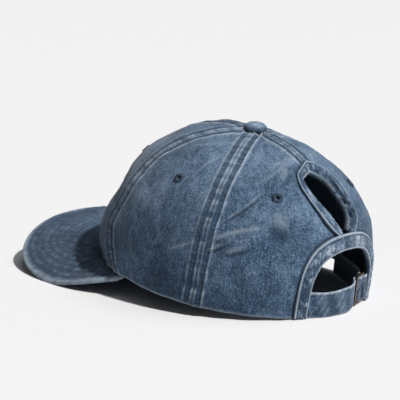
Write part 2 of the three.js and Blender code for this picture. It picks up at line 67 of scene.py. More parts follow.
toward_camera = Vector(
    (
        np.sin(view_azimuth) * np.cos(view_elevation),
        -np.cos(view_azimuth) * np.cos(view_elevation),
        np.sin(view_elevation),
    )
)
picture_right = Vector((np.cos(view_azimuth), np.sin(view_azimuth), 0))
picture_up = toward_camera.cross(picture_right)
aim = -toward_camera + aim_right * picture_right + aim_up * picture_up
bpy.ops.object.camera_add(location=crown_centre + view_distance * toward_camera)
camera = bpy.context.object
camera.name = "camera"
camera.data.lens = lens_length
camera.rotation_mode = "QUATERNION"
camera.rotation_quaternion = aim.to_track_quat("-Z", "Y")
bpy.context.scene.camera = camera
print("camera at", [round(value, 3) for value in camera.location])

# %% [markdown]
# A pale floor that runs far back needs no wall or curved backdrop. One hard lamp, high on the right of
# the view, throws the deep shadow that lies under the crown and the peak. A broad soft lamp from behind
# the cap's right side lifts the floor and the top of the crown, and a third, very weak, fills the near
# side together with a dim pale world. The plain view transform keeps the floor nearly white, as a studio
# picture has it.

# %% Floor and lights
floor_size = 60
bpy.ops.mesh.primitive_plane_add(size=floor_size, location=(0, 0, 0))
floor = bpy.context.object
floor.name = "floor"


def finish(name):
    """A node material and its Principled shader."""
    material = bpy.data.materials.new(name)
    material.use_nodes = True
    return material, material.node_tree.nodes["Principled BSDF"]


floor_paint, floor_shader = finish("pale_floor")
floor_shader.inputs["Base Color"].default_value = (0.86, 0.86, 0.87, 1)
floor_shader.inputs["Roughness"].default_value = 0.95
floor_shader.inputs["Specular IOR Level"].default_value = 0.1
floor.data.materials.append(floor_paint)

world = bpy.data.worlds.new("pale_room")
world.use_nodes = True
world.node_tree.nodes["Background"].inputs["Color"].default_value = (0.93, 0.95, 1.0, 1)
world.node_tree.nodes["Background"].inputs["Strength"].default_value = 0.06
bpy.context.scene.world = world
bpy.context.scene.view_settings.view_transform = "Standard"

lamps = [
    # name, azimuth and elevation it shines from, spread, strength, colour
    ("window_light", 188, 49, 3, 3.35, (1.0, 0.985, 0.96)),
    ("back_light", 225, 66, 50, 0.7, (0.95, 0.975, 1.0)),
    ("side_light", 125, 26, 60, 0.04, (0.95, 0.975, 1.0)),
]
for lamp_name, lamp_azimuth, lamp_elevation, lamp_spread, lamp_strength, lamp_colour in lamps:
    around, above = np.radians(lamp_azimuth), np.radians(lamp_elevation)
    lamp_from = Vector((np.sin(around) * np.cos(above), -np.cos(around) * np.cos(above), np.sin(above)))
    bpy.ops.object.light_add(type="SUN", location=lamp_from)
    lamp = bpy.context.object
    lamp.name = lamp_name
    lamp.rotation_mode = "QUATERNION"
    lamp.rotation_quaternion = lamp_from.to_track_quat("Z", "Y")
    lamp.data.energy = lamp_strength
    lamp.data.angle = np.radians(lamp_spread)
    lamp.data.color = lamp_colour
print("lamps", [lamp[0] for lamp in lamps])

# %% [markdown]
# ## The crown's shape
# A crown place is an angle (0 centre front, 90 the wearer's left, 180 centre back) and a share of the
# crown's height (0 rim, 1 apex). The crown could be sculpted, or sewn from flat panels by a cloth
# simulation. One formula was chosen instead, because panels, bindings and eyelets that meet on it then
# agree. It repeats the sizes of the measured solids.

# %% Crown sizes
crown_half_width = 82 * MM
crown_half_length = 96.6 * MM
crown_height = 100 * MM
apex_setback = 5.5 * MM
front_roundness = 4.4
back_roundness = 3.2
side_roundness = -0.87
profile_roundness = 1.65
front_squareness = 0.26
front_fullness = 3.4 * MM
front_bulge = 6 * MM
square_top = 0.45
bulge_top = 0.5
panel_wall = 1.4 * MM
degree_length = crown_half_length * np.pi / 180

front_tip = np.radians(6.707)
crown_seat = np.array([0, 36.77, 11.037]) * MM

folds = [
    # angle, share, heading, length, width, depth inward: lengths are shares of the crown height
    (127, 0.645, 36, 0.28, 0.05, 0.022),
    (121, 0.485, 25, 0.27, 0.07, -0.012),
    (118, 0.385, 40, 0.16, 0.06, 0.016),
    (143, 0.53, 4, 0.3, 0.14, 0.024),
    (102, 0.36, 27, 0.22, 0.06, -0.01),
]


# %% Crown skin
def signed_power(value, power):
    return np.sign(value) * np.abs(value) ** power


def crown_roundness(angle):
    ahead, left = np.cos(np.radians(angle)), np.sin(np.radians(angle))
    return back_roundness + (front_roundness - back_roundness) * (1 + ahead) / 2 + side_roundness * left**2


def crown_skin(angle, share):
    """Outside of the smooth crown, with the rim in the plane z = 0."""
    ahead, left = np.cos(np.radians(angle)), np.sin(np.radians(angle))
    front = np.clip(ahead, 0, 1)
    reach = np.clip(1 - np.abs(share) ** crown_roundness(angle), 0, None) ** (1 / profile_roundness)
    plan = 2 / (2 + front_squareness * np.clip(1 - share / square_top, 0, 1) * np.clip(3 * ahead, 0, 1))
    bulge = front_bulge * front * np.sin(np.pi * np.clip(share / bulge_top, 0, 1))
    fullness = front_fullness * front * 4 * reach * (1 - reach) * share
    return np.stack(
        [
            crown_half_width * signed_power(left, plan) * reach,
            -crown_half_length * signed_power(ahead, plan) * reach + apex_setback * share - bulge,
            crown_height * share + fullness,
        ],
        axis=-1,
    )


def surface_normal(surface, angle, share):
    turn, step = 0.5, 0.0005
    along = surface(angle + turn, share) - surface(angle - turn, share)
    up = surface(angle, share + step) - surface(angle, share - step)
    normal = np.cross(along, up)
    return normal / np.linalg.norm(normal, axis=-1, keepdims=True)


def fold_depth(angle, share):
    """How far the settled folds press the cloth inward."""
    depth = 0
    for fold_angle, fold_share, heading, length, width, deep in folds:
        turn = np.radians(heading)
        along = (angle - fold_angle) * degree_length / crown_height
        up = share - fold_share
        lengthwise = (along * np.cos(turn) + up * np.sin(turn)) / (length / 2)
        across = (up * np.cos(turn) - along * np.sin(turn)) / width
        depth = depth + deep * crown_height * np.exp(-(lengthwise**2) - across**2)
    return depth


def crown_cloth(angle, share):
    normal = surface_normal(crown_skin, angle, share)
    return crown_skin(angle, share) - normal * fold_depth(angle, share)[..., None]


def crown_point(angle, share, outward):
    """Point of the crown, a distance outward from its cloth, and the cloth's normal there."""
    normal = surface_normal(crown_cloth, angle, share)
    return crown_cloth(angle, share) + normal * outward[..., None], normal


def stand(points):
    """Turns cap points to the way the cap stands, with what touches the floor pressed flat."""
    cosine, sine = np.cos(front_tip), np.sin(front_tip)
    y = points[..., 1] * cosine + points[..., 2] * sine
    z = points[..., 2] * cosine - points[..., 1] * sine
    placed = np.stack([points[..., 0], y, z], axis=-1) + crown_seat
    placed[..., 2] = np.maximum(placed[..., 2], 0)
    return placed


print("apex at", stand(crown_skin(np.array(0.0), np.array(1.0))).round(4))

# %% [markdown]
# ## Random but repeatable
# Washed cloth is never even. A Displace modifier with a noise texture could roughen it, but waves in code
# follow a seam more easily. Two helpers add up waves of seeded lengths and directions: one along a line,
# for puckers beside a seam, and one in space, for soft dents. The same seed gives the same cloth each
# time.


# %% Waves
def ripple(run, size, seed, waves=6):
    """Uneven waves along a line, about -1 to 1."""
    draw = np.random.default_rng(seed)
    total = 0
    for _ in range(waves):
        wavelength = size * draw.uniform(0.6, 1.8)
        total = total + np.sin(2 * np.pi * (run / wavelength + draw.random()))
    return total / np.sqrt(waves)


def dents(points, size, seed, waves=16):
    """Uneven waves in space, about -1 to 1."""
    draw = np.random.default_rng(seed)
    total = 0
    for _ in range(waves):
        direction = draw.normal(size=3)
        direction /= np.linalg.norm(direction) * size * draw.uniform(0.6, 1.6)
        total = total + np.sin(2 * np.pi * (points @ direction + draw.random()))
    return total / np.sqrt(waves)


def hump(value, middle, width):
    return np.exp(-(((value - middle) / width) ** 2))


def slope(value, low, high):
    part = np.clip((value - low) / (high - low), 0, 1)
    return part * part * (3 - 2 * part)


# %% [markdown]
# ## Cloth sheets
# A panel could be extruded and cut by hand, but its seams and puckers need many even rows of points. A
# grid primitive has them, so a function can lay it out as any cloth: a panel, or a strip that closes
# round on itself. The weave needs a map in real lengths, and the wash needs to know where the cloth is
# rubbed pale or left dark, so each sheet carries a map and two attributes. The dark attribute holds
# both the dye left in seam valleys and painted shade in creases, insides and beside raised edges.


# %% Sheet helpers
def deselect_all():
    if bpy.context.object and bpy.context.object.mode != "OBJECT":
        bpy.ops.object.mode_set(mode="OBJECT")
    bpy.ops.object.select_all(action="DESELECT")


def set_attribute(piece, name, values):
    attribute = piece.data.attributes.new(name, "FLOAT", "POINT")
    attribute.data.foreach_set("value", np.clip(values, 0, 1).astype(np.float32).ravel())


def cloth_sheet(name, points, cloth_map, rub, deep):
    """A grid laid out over rows and columns of points, its faces outward where columns x rows points out."""
    rows, columns = points.shape[:2]
    deselect_all()
    bpy.ops.mesh.primitive_grid_add(x_subdivisions=columns - 1, y_subdivisions=rows - 1, size=1)
    piece = bpy.context.object
    piece.name = name
    mesh = piece.data
    mesh.vertices.foreach_set("co", points.astype(np.float32).ravel())
    corners = np.zeros(len(mesh.loops), np.int32)
    mesh.loops.foreach_get("vertex_index", corners)
    mesh.uv_layers[0].name = "cloth"
    mesh.uv_layers[0].data.foreach_set("uv", cloth_map.reshape(-1, 2)[corners].astype(np.float32).ravel())
    set_attribute(piece, "rub", rub)
    set_attribute(piece, "deep", deep)
    mesh.update()
    return piece


def apply_all_modifiers(piece):
    deselect_all()
    piece.select_set(True)
    bpy.context.view_layer.objects.active = piece
    for modifier in list(piece.modifiers):
        bpy.ops.object.modifier_apply(modifier=modifier.name)


def close_strip(piece, merge_distance=0.00001):
    """Joins a sheet's first and last columns and fills its two ends."""
    deselect_all()
    piece.select_set(True)
    bpy.context.view_layer.objects.active = piece
    bpy.ops.object.mode_set(mode="EDIT")
    bpy.ops.mesh.select_mode(type="VERT")
    bpy.ops.mesh.select_all(action="SELECT")
    bpy.ops.mesh.remove_doubles(threshold=merge_distance)
    bpy.ops.mesh.select_all(action="DESELECT")
    bpy.ops.mesh.select_non_manifold()
    bpy.ops.mesh.fill_holes(sides=0)
    bpy.ops.mesh.select_all(action="SELECT")
    bpy.ops.mesh.normals_make_consistent(inside=False)
    bpy.ops.object.mode_set(mode="OBJECT")


def place_piece(piece, slot, *nodes):
    """Smooth, riding on the cap, and standing for its measured solids."""
    deselect_all()
    piece.select_set(True)
    bpy.context.view_layer.objects.active = piece
    bpy.ops.object.shade_smooth()
    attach(piece, "root")
    if nodes:
        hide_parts(*nodes)
    print(piece.name, "faces", len(piece.data.polygons))


# %% [markdown]
# ## Washed denim
# The cloth is dyed dark and then washed hard: ridges and folded edges turn pale, and the valleys beside a
# seam stay dark. A picture of denim could be used, but noise shows no repeat and needs no file. Soft
# clouds, blotches, mottle and single threads are four sizes of it. The diagonal twill follows the cloth
# map, so it runs with each panel as cut cloth does. The cloth is also painted darker at the rim and paler
# higher up, as painted shade and painted light, and the copy for the inside is darker still, as painted
# shade.

# %% Denim material
deep_blue = (0.014, 0.033, 0.066, 1)
middle_blue = (0.064, 0.119, 0.196, 1)
faded_blue = (0.145, 0.212, 0.312, 1)
bright_blue = (0.26, 0.345, 0.46, 1)
rubbed_blue = (0.47, 0.55, 0.64, 1)
# painted shade and painted light: the cloth is painted darker at the rim and paler up to this height
painted_light_height = 0.1
painted_shade_at_rim = -0.13
painted_light_at_top = 0.24
noise_layers = [
    # name, scale, detail, roughness, then the noise range and the tones it is spread to
    ("clouds", 34, 3, 0.55, 0.32, 0.68, -0.2, 0.2),
    ("blotches", 150, 4, 0.62, 0.3, 0.7, 0.1, 0.36),
    ("mottle", 520, 3, 0.6, 0.25, 0.75, -0.2, 0.2),
    ("threads", 1500, 2, 0.75, 0.25, 0.75, -0.6, 0.6),
]
warp_scale = 950
warp_tone = 0.13
twill_scale = 560
twill_tone = 0.11
# the inside copy of the cloth is painted darker than the outside: painted shade
inner_painted_shade = -0.3


class NodeKit:
    """Short ways to add and link a material's nodes."""

    def __init__(self, material):
        self.tree = material.node_tree

    def add(self, kind, inputs=None, **settings):
        node = self.tree.nodes.new(kind)
        for key, value in settings.items():
            setattr(node, key, value)
        for key, value in (inputs or {}).items():
            if isinstance(value, bpy.types.NodeSocket):
                self.tree.links.new(value, node.inputs[key])
            else:
                node.inputs[key].default_value = value
        return node

    def noise(self, vector, scale, detail=2.0, roughness=0.5):
        inputs = {"Vector": vector, "Scale": scale, "Detail": detail, "Roughness": roughness}
        return self.add("ShaderNodeTexNoise", inputs).outputs["Fac"]

    def spread(self, value, low, high, to_low=0.0, to_high=1.0):
        """Stretches a range of values, and clamps it."""
        inputs = {"Value": value, "From Min": low, "From Max": high, "To Min": to_low, "To Max": to_high}
        return self.add("ShaderNodeMapRange", inputs).outputs["Result"]

    def math(self, operation, first, second):
        return self.add("ShaderNodeMath", {0: first, 1: second}, operation=operation).outputs[0]

    def mix(self, part, first, second):
        node = self.add("ShaderNodeMix", data_type="RGBA")
        for name, value in (("Factor", part), ("A", first), ("B", second)):
            socket = next(s for s in node.inputs if s.name == name and s.enabled)
            if isinstance(value, bpy.types.NodeSocket):
                self.tree.links.new(value, socket)
            else:
                socket.default_value = value
        return next(s for s in node.outputs if s.enabled)


def washed_denim(name, painted_shift=0.0, weave_depth=0.12 * MM):
    """Denim node material, painted darker at the rim and paler higher up: painted shade and painted light.
    The shift moves the whole cloth toward pale, or toward dark if negative; the inside copy's dark is painted
    shade.
    """
    material, shader = finish(name)
    kit = NodeKit(material)
    place = kit.add("ShaderNodeTexCoord").outputs["Object"]
    cloth = kit.add("ShaderNodeUVMap", uv_map="cloth").outputs["UV"]
    rub = kit.add("ShaderNodeAttribute", attribute_name="rub").outputs["Fac"]
    deep = kit.add("ShaderNodeAttribute", attribute_name="deep").outputs["Fac"]

    warp_map = kit.add("ShaderNodeMapping", {"Vector": cloth, "Scale": (1, 0.1, 1)}).outputs["Vector"]
    warp = kit.noise(warp_map, warp_scale, 2, 0.6)
    twill_lines = kit.add(
        "ShaderNodeTexWave",
        {"Vector": cloth, "Scale": twill_scale, "Distortion": 2.2, "Detail": 2, "Detail Scale": 2.2},
        wave_type="BANDS",
        bands_direction="DIAGONAL",
    ).outputs["Fac"]
    height = kit.add("ShaderNodeSeparateXYZ", {"Vector": place}).outputs["Z"]

    # painted shade and painted light: darker at the rim, paler higher up
    tone = kit.spread(height, 0, painted_light_height, painted_shift + painted_shade_at_rim, painted_shift + painted_light_at_top)
    noises = {}
    for layer, scale, detail, roughness, low, high, darker, paler in noise_layers:
        noises[layer] = kit.noise(place, scale, detail, roughness)
        tone = kit.math("ADD", tone, kit.spread(noises[layer], low, high, darker, paler))
    tone = kit.math("ADD", tone, kit.spread(warp, 0.3, 0.7, -warp_tone, warp_tone))
    tone = kit.math("ADD", tone, kit.spread(twill_lines, 0, 1, -twill_tone, twill_tone))
    blotches, threads = noises["blotches"], noises["threads"]

    ramp = kit.add("ShaderNodeValToRGB", {"Fac": tone})
    ramp.color_ramp.elements[0].color = deep_blue
    ramp.color_ramp.elements[0].position = 0.0
    ramp.color_ramp.elements[1].color = bright_blue
    ramp.color_ramp.elements[1].position = 1.0
    for position, blue in ((0.36, middle_blue), (0.68, faded_blue)):
        ramp.color_ramp.elements.new(position).color = blue

    patchy = kit.spread(blotches, 0.25, 0.6, 0.6, 1.0)
    # the dark attribute pulls toward deep blue: dye left in seam valleys, and painted shade in creases,
    # insides and beside raised edges
    kept_dye_and_painted_shade = kit.math("MULTIPLY", deep, kit.math("MULTIPLY", patchy, 0.9))
    dark = kit.mix(kept_dye_and_painted_shade, ramp.outputs["Color"], deep_blue)
    worn = kit.math("MULTIPLY", rub, kit.spread(threads, 0.2, 0.75, 0.5, 1.0))
    colour = kit.mix(worn, dark, rubbed_blue)

    grain = kit.math("ADD", kit.math("MULTIPLY", twill_lines, 0.5), threads)
    bump = kit.add("ShaderNodeBump", {"Strength": 0.6, "Distance": weave_depth, "Height": grain})
    kit.tree.links.new(colour, shader.inputs["Base Color"])
    kit.tree.links.new(bump.outputs["Normal"], shader.inputs["Normal"])
    shader.inputs["Roughness"].default_value = 0.92
    shader.inputs["Specular IOR Level"].default_value = 0.2
    shader.inputs["Sheen Weight"].default_value = 0.15
    shader.inputs["Sheen Roughness"].default_value = 0.5
    return material


denim = washed_denim("washed_denim")
painted_shade_inner_denim = washed_denim("painted_shade_inner_denim", painted_shift=inner_painted_shade)

thread_material, thread_shader = finish("seam_thread")
thread_shader.inputs["Base Color"].default_value = (0.085, 0.125, 0.185, 1)
thread_shader.inputs["Roughness"].default_value = 0.7
print("cloth finishes:", [made.name for made in (denim, painted_shade_inner_denim, thread_material)])

# %% [markdown]
# ## Crown panels
# Six panels meet in seams that run from the rim to the button. Beside a seam the cloth is three layers
# thick and held by two rows of stitches, so it stands up in a low band with a groove down its middle. The
# thread is shorter than the cloth, which puckers it across the seam. Bump could draw all this, but it
# wouldn't be in the mesh, so the grid has close columns beside its seams, where the relief is, and even
# ones between.

# %% Seams and panels
front_seam = np.array(
    [[0, 69], [0.1, 66], [0.2, 62.5], [0.32, 59], [0.45, 57.5], [0.65, 57], [0.85, 54.5], [1, 53]]
)
back_seam = np.array([[0, 111], [0.65, 112], [1, 113]])
near_seam = np.array([0, 0.3, 0.6, 1.0, 1.5, 2.0, 2.5, 3.0, 3.5, 4.0, 4.5, 5.0, 5.5, 6.1, 6.7, 7.3, 8.2]) * MM
stitch_column = 9
# the next five are millimetres from the seam's middle
valley_from = (1.9, 2.7)
valley_to = (5.3, 6.3)
seam_step = (6.4, 7.8)
seam_fold_at = 6.8
seam_middle_at = 1.1
top_wear_from = 48 * MM
top_wear_to = 92 * MM
panel_rows = 150
apex_clearance = 3 * MM
climb_steps = 150


def seam_angle(table):
    return lambda share: np.interp(share, table[:, 0], table[:, 1])


def even_angle(angle):
    return lambda share: np.full_like(share, angle)


panel_seams = {
    # the seams at both sides, middle columns, and a seed for each seam
    "front_panel": (even_angle(0), seam_angle(front_seam), 100, (1, 2)),
    "side_panel": (seam_angle(front_seam), seam_angle(back_seam), 76, (2, 3)),
    "back_panel": (seam_angle(back_seam), even_angle(180), 112, (3, 4)),
}
centre_seam_seeds = (1, 4)
print("panels on each side:", list(panel_seams))


def climb_lines(seam_from, seam_to, parts):
    """Angle and share of lines that climb from rim to apex at parts of the way between two seams."""
    top = np.arccos((apex_clearance / crown_half_width) ** (profile_roundness / 2))
    climb = (np.linspace(0, 1, climb_steps) ** 1.7 * top)[:, None]
    share = np.sin(climb) ** 0.55 * np.ones_like(parts)
    for _ in range(6):
        angle = seam_from(share) + (seam_to(share) - seam_from(share)) * parts
        share = np.sin(climb) ** (2 / crown_roundness(angle))
    return angle, share


def run_lengths(points, axis):
    steps = np.linalg.norm(np.diff(points, axis=axis), axis=-1)
    shape = list(steps.shape)
    shape[axis] = 1
    return np.concatenate([np.zeros(shape), np.cumsum(steps, axis=axis)], axis=axis)


def panel_grid(seam_from, seam_to, middle_columns):
    """Angle, share, distance from each seam and length climbed, at each row and column of a panel."""
    even = np.linspace(0, 1, 61) * np.ones((climb_steps, 1))
    across = run_lengths(crown_skin(*climb_lines(seam_from, seam_to, even)), axis=1)
    parts, distances, widths = [], [], across[:, -1]
    for row, width in zip(across, widths):
        near = near_seam * min(1, width / (2.4 * near_seam[-1]))
        middle = np.linspace(near[-1], width - near[-1], middle_columns + 2)[1:-1]
        distance = np.concatenate([near, middle, (width - near)[::-1]])
        distances.append(distance)
        parts.append(np.interp(distance, row, even[0]))
    angle, share = climb_lines(seam_from, seam_to, np.array(parts))
    climbed = run_lengths(crown_skin(angle, share), axis=0)
    distance, width = np.array(distances), np.array(widths)[:, None] * np.ones_like(angle)
    grids = []
    for values in (angle, share, distance, width):
        columns = []
        for column in range(angle.shape[1]):
            target = np.linspace(0, climbed[-1, column], panel_rows)
            columns.append(np.interp(target, climbed[:, column], values[:, column]))
        grids.append(np.array(columns).T)
    lengths = np.array([np.linspace(0, end, panel_rows) for end in climbed[-1]]).T
    return (*grids, lengths)


def seam_relief(distance, along, seed):
    """Height in mm of a topstitched seam over the cloth, with how pale and how dark it is."""
    d = distance / MM
    pucker = ripple(along, 4.6 * MM, seed, waves=9)
    blot = ripple(along, 9 * MM, seed + 50, waves=9)
    patch = ripple(along + 0.6 * distance, 3.4 * MM, seed + 90, waves=9)
    valley = slope(d, *valley_from) * (1 - slope(d, *valley_to))
    height = 0.55 * (1 - slope(d, *seam_step)) - 0.5 * valley
    height = height - 0.6 * hump(d, 0, 0.4) - 0.18 * hump(d, 4.0, 0.5) + 0.16 * pucker * valley
    near_top = slope(along, top_wear_from, top_wear_to)
    pale = hump(d, seam_fold_at, 0.5) * np.clip(0.42 + 0.25 * blot + 0.4 * near_top, 0, 0.9)
    middle_wear = np.clip(0.16 + 0.3 * blot + 0.2 * patch + 0.3 * near_top, 0, 0.8)
    pale = pale + hump(d, seam_middle_at, 0.8) * middle_wear
    dark = valley * np.clip(0.8 + 0.26 * patch - 0.2 * blot, 0.25, 1)
    dark = dark + hump(d, 0, 0.35) * 0.55
    dark = dark + hump(d, seam_middle_at, 0.8) * np.clip(0.2 - 0.3 * blot, 0, 0.4)
    return height, pale, dark


# %% [markdown]
# The cloth has settled into a few creases, the sharpest behind the back seam. A simulation could fold it,
# but hardly at the places that the photograph shows. So each crease is a groove along a slightly bent
# line, deepest at its middle, with a pale ridge on its upper side, or a low raised fold if its depth is
# negative.

# %% Creases and crown relief
creases = [
    # angle and share at both ends, bend in mm, half width in mm, depth in mm
    (118.5, 0.55, 136, 0.735, 0.5, 0.7, 1.7),
    (114.2, 0.350, 121, 0.415, 0.2, 1.0, 1.0),
    (121.5, 0.348, 131, 0.408, 0.3, 1.5, 0.8),
    (96.5, 0.312, 108.5, 0.41, 0.2, 0.9, -0.5),
    (113.4, 0.425, 137, 0.555, 2.4, 1.4, -0.65),
    (139, 0.535, 147, 0.5, 1.0, 4.0, 1.2),
    (131, 0.775, 168, 0.902, 2.5, 1.0, -0.4),
    (138, 0.852, 166, 0.912, 1.1, 0.9, -0.35),
    (69, 0.868, 98, 0.946, 1.5, 1.1, -0.4),
    (92.5, 0.775, 101, 0.89, 1.0, 1.2, -0.4),
    (148, 0.78, 157, 0.83, 1.0, 1.5, 0.5),
]
crown_dents = [
    # depth in mm, size in mm, seed
    (0.55, 42, 11),
    (0.24, 15, 12),
    (0.09, 6, 13),
]
print("creases:", len(creases))


def crease_relief(angle, share):
    height = pale = dark = 0
    for from_angle, from_share, to_angle, to_share, bend, half_width, depth in creases:
        start = np.array([from_angle * degree_length, from_share * crown_height]) / MM
        end = np.array([to_angle * degree_length, to_share * crown_height]) / MM
        way = end - start
        length = np.linalg.norm(way)
        way = way / length
        x = angle * degree_length / MM - start[0]
        y = share * crown_height / MM - start[1]
        part = (x * way[0] + y * way[1]) / length
        across = y * way[0] - x * way[1] - bend * 4 * part * (1 - part)
        within = slope(part, -0.12, 0.3) * (1 - slope(part, 0.7, 1.12))
        groove = np.exp(-((across / half_width) ** 2))
        height = height - depth * within * groove
        if depth > 0:
            # the groove is painted dark along its middle: painted shade in the crease
            dark = dark + within * groove * min(depth, 1) * 1.1
            height = height + 0.5 * depth * within * hump(across, 2.6 * half_width, 1.6 * half_width)
            pale = pale + 0.3 * within * hump(across, 2.1 * half_width, half_width)
        else:
            pale = pale + within * groove * min(-depth, 1) * 0.6
    return height, pale, dark


def crown_relief(angle, share):
    """Height in mm of dents, creases and rim ripples over the crown's cloth."""
    skin = crown_skin(angle, share)
    height = sum(depth * dents(skin, size * MM, seed) for depth, size, seed in crown_dents)
    gathered = slope(share, 0.8, 0.95) * (1 - slope(share, 0.985, 1.0))
    height = height + 0.3 * gathered * ripple(angle * degree_length, 30 * MM, 15)
    from_front = np.abs((angle + 180) % 360 - 180)
    height = height + 3.2 * hump(from_front, 44, 24) * slope(share, 0.0, 0.1) * (1 - slope(share, 0.22, 0.5))
    rim = share * crown_height / MM
    height = height + 0.4 * ripple(angle * degree_length, 13 * MM, 14) * np.exp(-rim / 16)
    crease, pale, dark = crease_relief(angle, share)
    pale = pale + 0.55 * hump(rim, 0, 0.9)
    return height + crease, pale, dark


# %% [markdown]
# The openings at the back are flat outlines laid on the crown, x toward the wearer's left and y up. The
# arch is a superellipse standing on the rim, and the slit above it has its widths in a short table. A
# Boolean modifier could cut them. Deleting whole faces is simpler, and enough, because each binding
# covers the panels' raw edge by a few millimetres.

# %% Openings at the back
arch_half_angle = 26.8
arch_top = 52 * MM
arch_leg_roundness = 2.3
arch_top_roundness = 4
arch_binding_width = 10 * MM
slit_cut = [
    # share, half width to the wearer's left and right in degrees
    (0.49, 4, 4),
    (0.545, 9, 8.5),
    (0.6, 12.5, 11.5),
    (0.67, 15.5, 12.5),
    (0.74, 19, 13.5),
    (0.8, 20.5, 14),
    (0.85, 17, 12.5),
]
slit_cut_top = 0.892
slit_opening = [
    # the same columns
    (0.545, 0.8, 4.5),
    (0.6, 4.5, 9),
    (0.67, 8, 10.5),
    (0.74, 12.5, 10.5),
    (0.8, 14.5, 10.5),
    (0.835, 12.5, 9),
]
slit_opening_top = 0.862
slit_sink_left = 2.5
slit_sink_right = 6


def even_points(points, count):
    run = run_lengths(points, axis=0)
    target = np.linspace(0, run[-1], count)
    return np.stack([np.interp(target, run, points[:, axis]) for axis in range(points.shape[1])], axis=-1)


def arch_outline(offset, count):
    turn = np.linspace(-np.pi / 2, np.pi / 2, 2001)
    half_width = arch_half_angle * degree_length - offset
    x = -half_width * signed_power(np.sin(turn), 2 / arch_leg_roundness)
    y = (arch_top - offset) * np.abs(np.cos(turn)) ** (2 / arch_top_roundness)
    return even_points(np.stack([x, y], axis=-1), count)


def smooth_through(points, steps=40):
    """A Catmull-Rom curve through points."""
    padded = np.concatenate([points[:1], points, points[-1:]])
    part = np.linspace(0, 1, steps, endpoint=False)[:, None]
    spans = []
    for before, start, end, after in zip(padded, padded[1:], padded[2:], padded[3:]):
        leave, arrive = (end - before) / 2, (after - start) / 2
        spans.append(
            (2 * start - 2 * end + leave + arrive) * part**3
            + (-3 * start + 3 * end - 2 * leave - arrive) * part**2
            + leave * part
            + start
        )
    return np.concatenate([*spans, points[-1:]])


def slit_outline(table, top, count):
    left = [(wide * degree_length, share * crown_height) for share, wide, _ in table]
    right = [(-wide * degree_length, share * crown_height) for share, _, wide in table]
    places = np.array([*left, (0, top * crown_height), *right[::-1]])
    return even_points(smooth_through(places), count)


def inside_outline(x, y, outline):
    """True where a place lies within a closed outline."""
    inside = np.zeros(x.shape, bool)
    for (x0, y0), (x1, y1) in zip(outline, np.roll(outline, -1, axis=0)):
        crosses = (y0 > y) != (y1 > y)
        edge = x0 + (y - y0) * (x1 - x0) / np.where(y1 == y0, 1, y1 - y0)
        inside ^= crosses & (x < edge)
    return inside


def edge_distance(angle, share):
    """How far crown places lie from the outer edges of the two bindings."""
    places = np.stack([(180 - angle) * degree_length, share * crown_height], axis=-1)[:, :, None]
    edges = np.concatenate([arch_outline(0, 150), slit_outline(slit_cut, slit_cut_top, 170)])
    return np.linalg.norm(places - edges, axis=-1).min(axis=-1)


under_binding = 4 * MM
arch_hole = arch_outline(under_binding, 90)
arch_hole = np.concatenate([arch_hole, [[arch_hole[-1, 0], -0.02], [arch_hole[0, 0], -0.02]]])
slit_edge = slit_outline(slit_cut, slit_cut_top, 161)
slit_inner = slit_outline(slit_opening, slit_opening_top, 161)
slit_hole = slit_edge + (slit_inner - slit_edge) * 0.4
eyelet_share = 0.728
eyelet_angles = {"front": 28, "side": 85.5, "back": 144}
eyelet_cut = 1.6 * MM
print("slit binding, length of its outer edge:", run_lengths(slit_edge, axis=0)[-1].round(4))


# %% Panel meshes
def trim_faces(piece, keep_face):
    """Deletes the faces that a hole takes away."""
    deselect_all()
    bpy.context.view_layer.objects.active = piece
    piece.select_set(True)
    for kind in (piece.data.vertices, piece.data.edges):
        kind.foreach_set("select", np.zeros(len(kind), bool))
    piece.data.polygons.foreach_set("select", ~keep_face)
    bpy.ops.object.mode_set(mode="EDIT")
    bpy.ops.mesh.select_mode(type="FACE")
    bpy.ops.mesh.delete(type="FACE")
    bpy.ops.object.mode_set(mode="OBJECT")


def face_means(grid):
    return (grid[:-1, :-1] + grid[1:, :-1] + grid[:-1, 1:] + grid[1:, 1:]).ravel() / 4


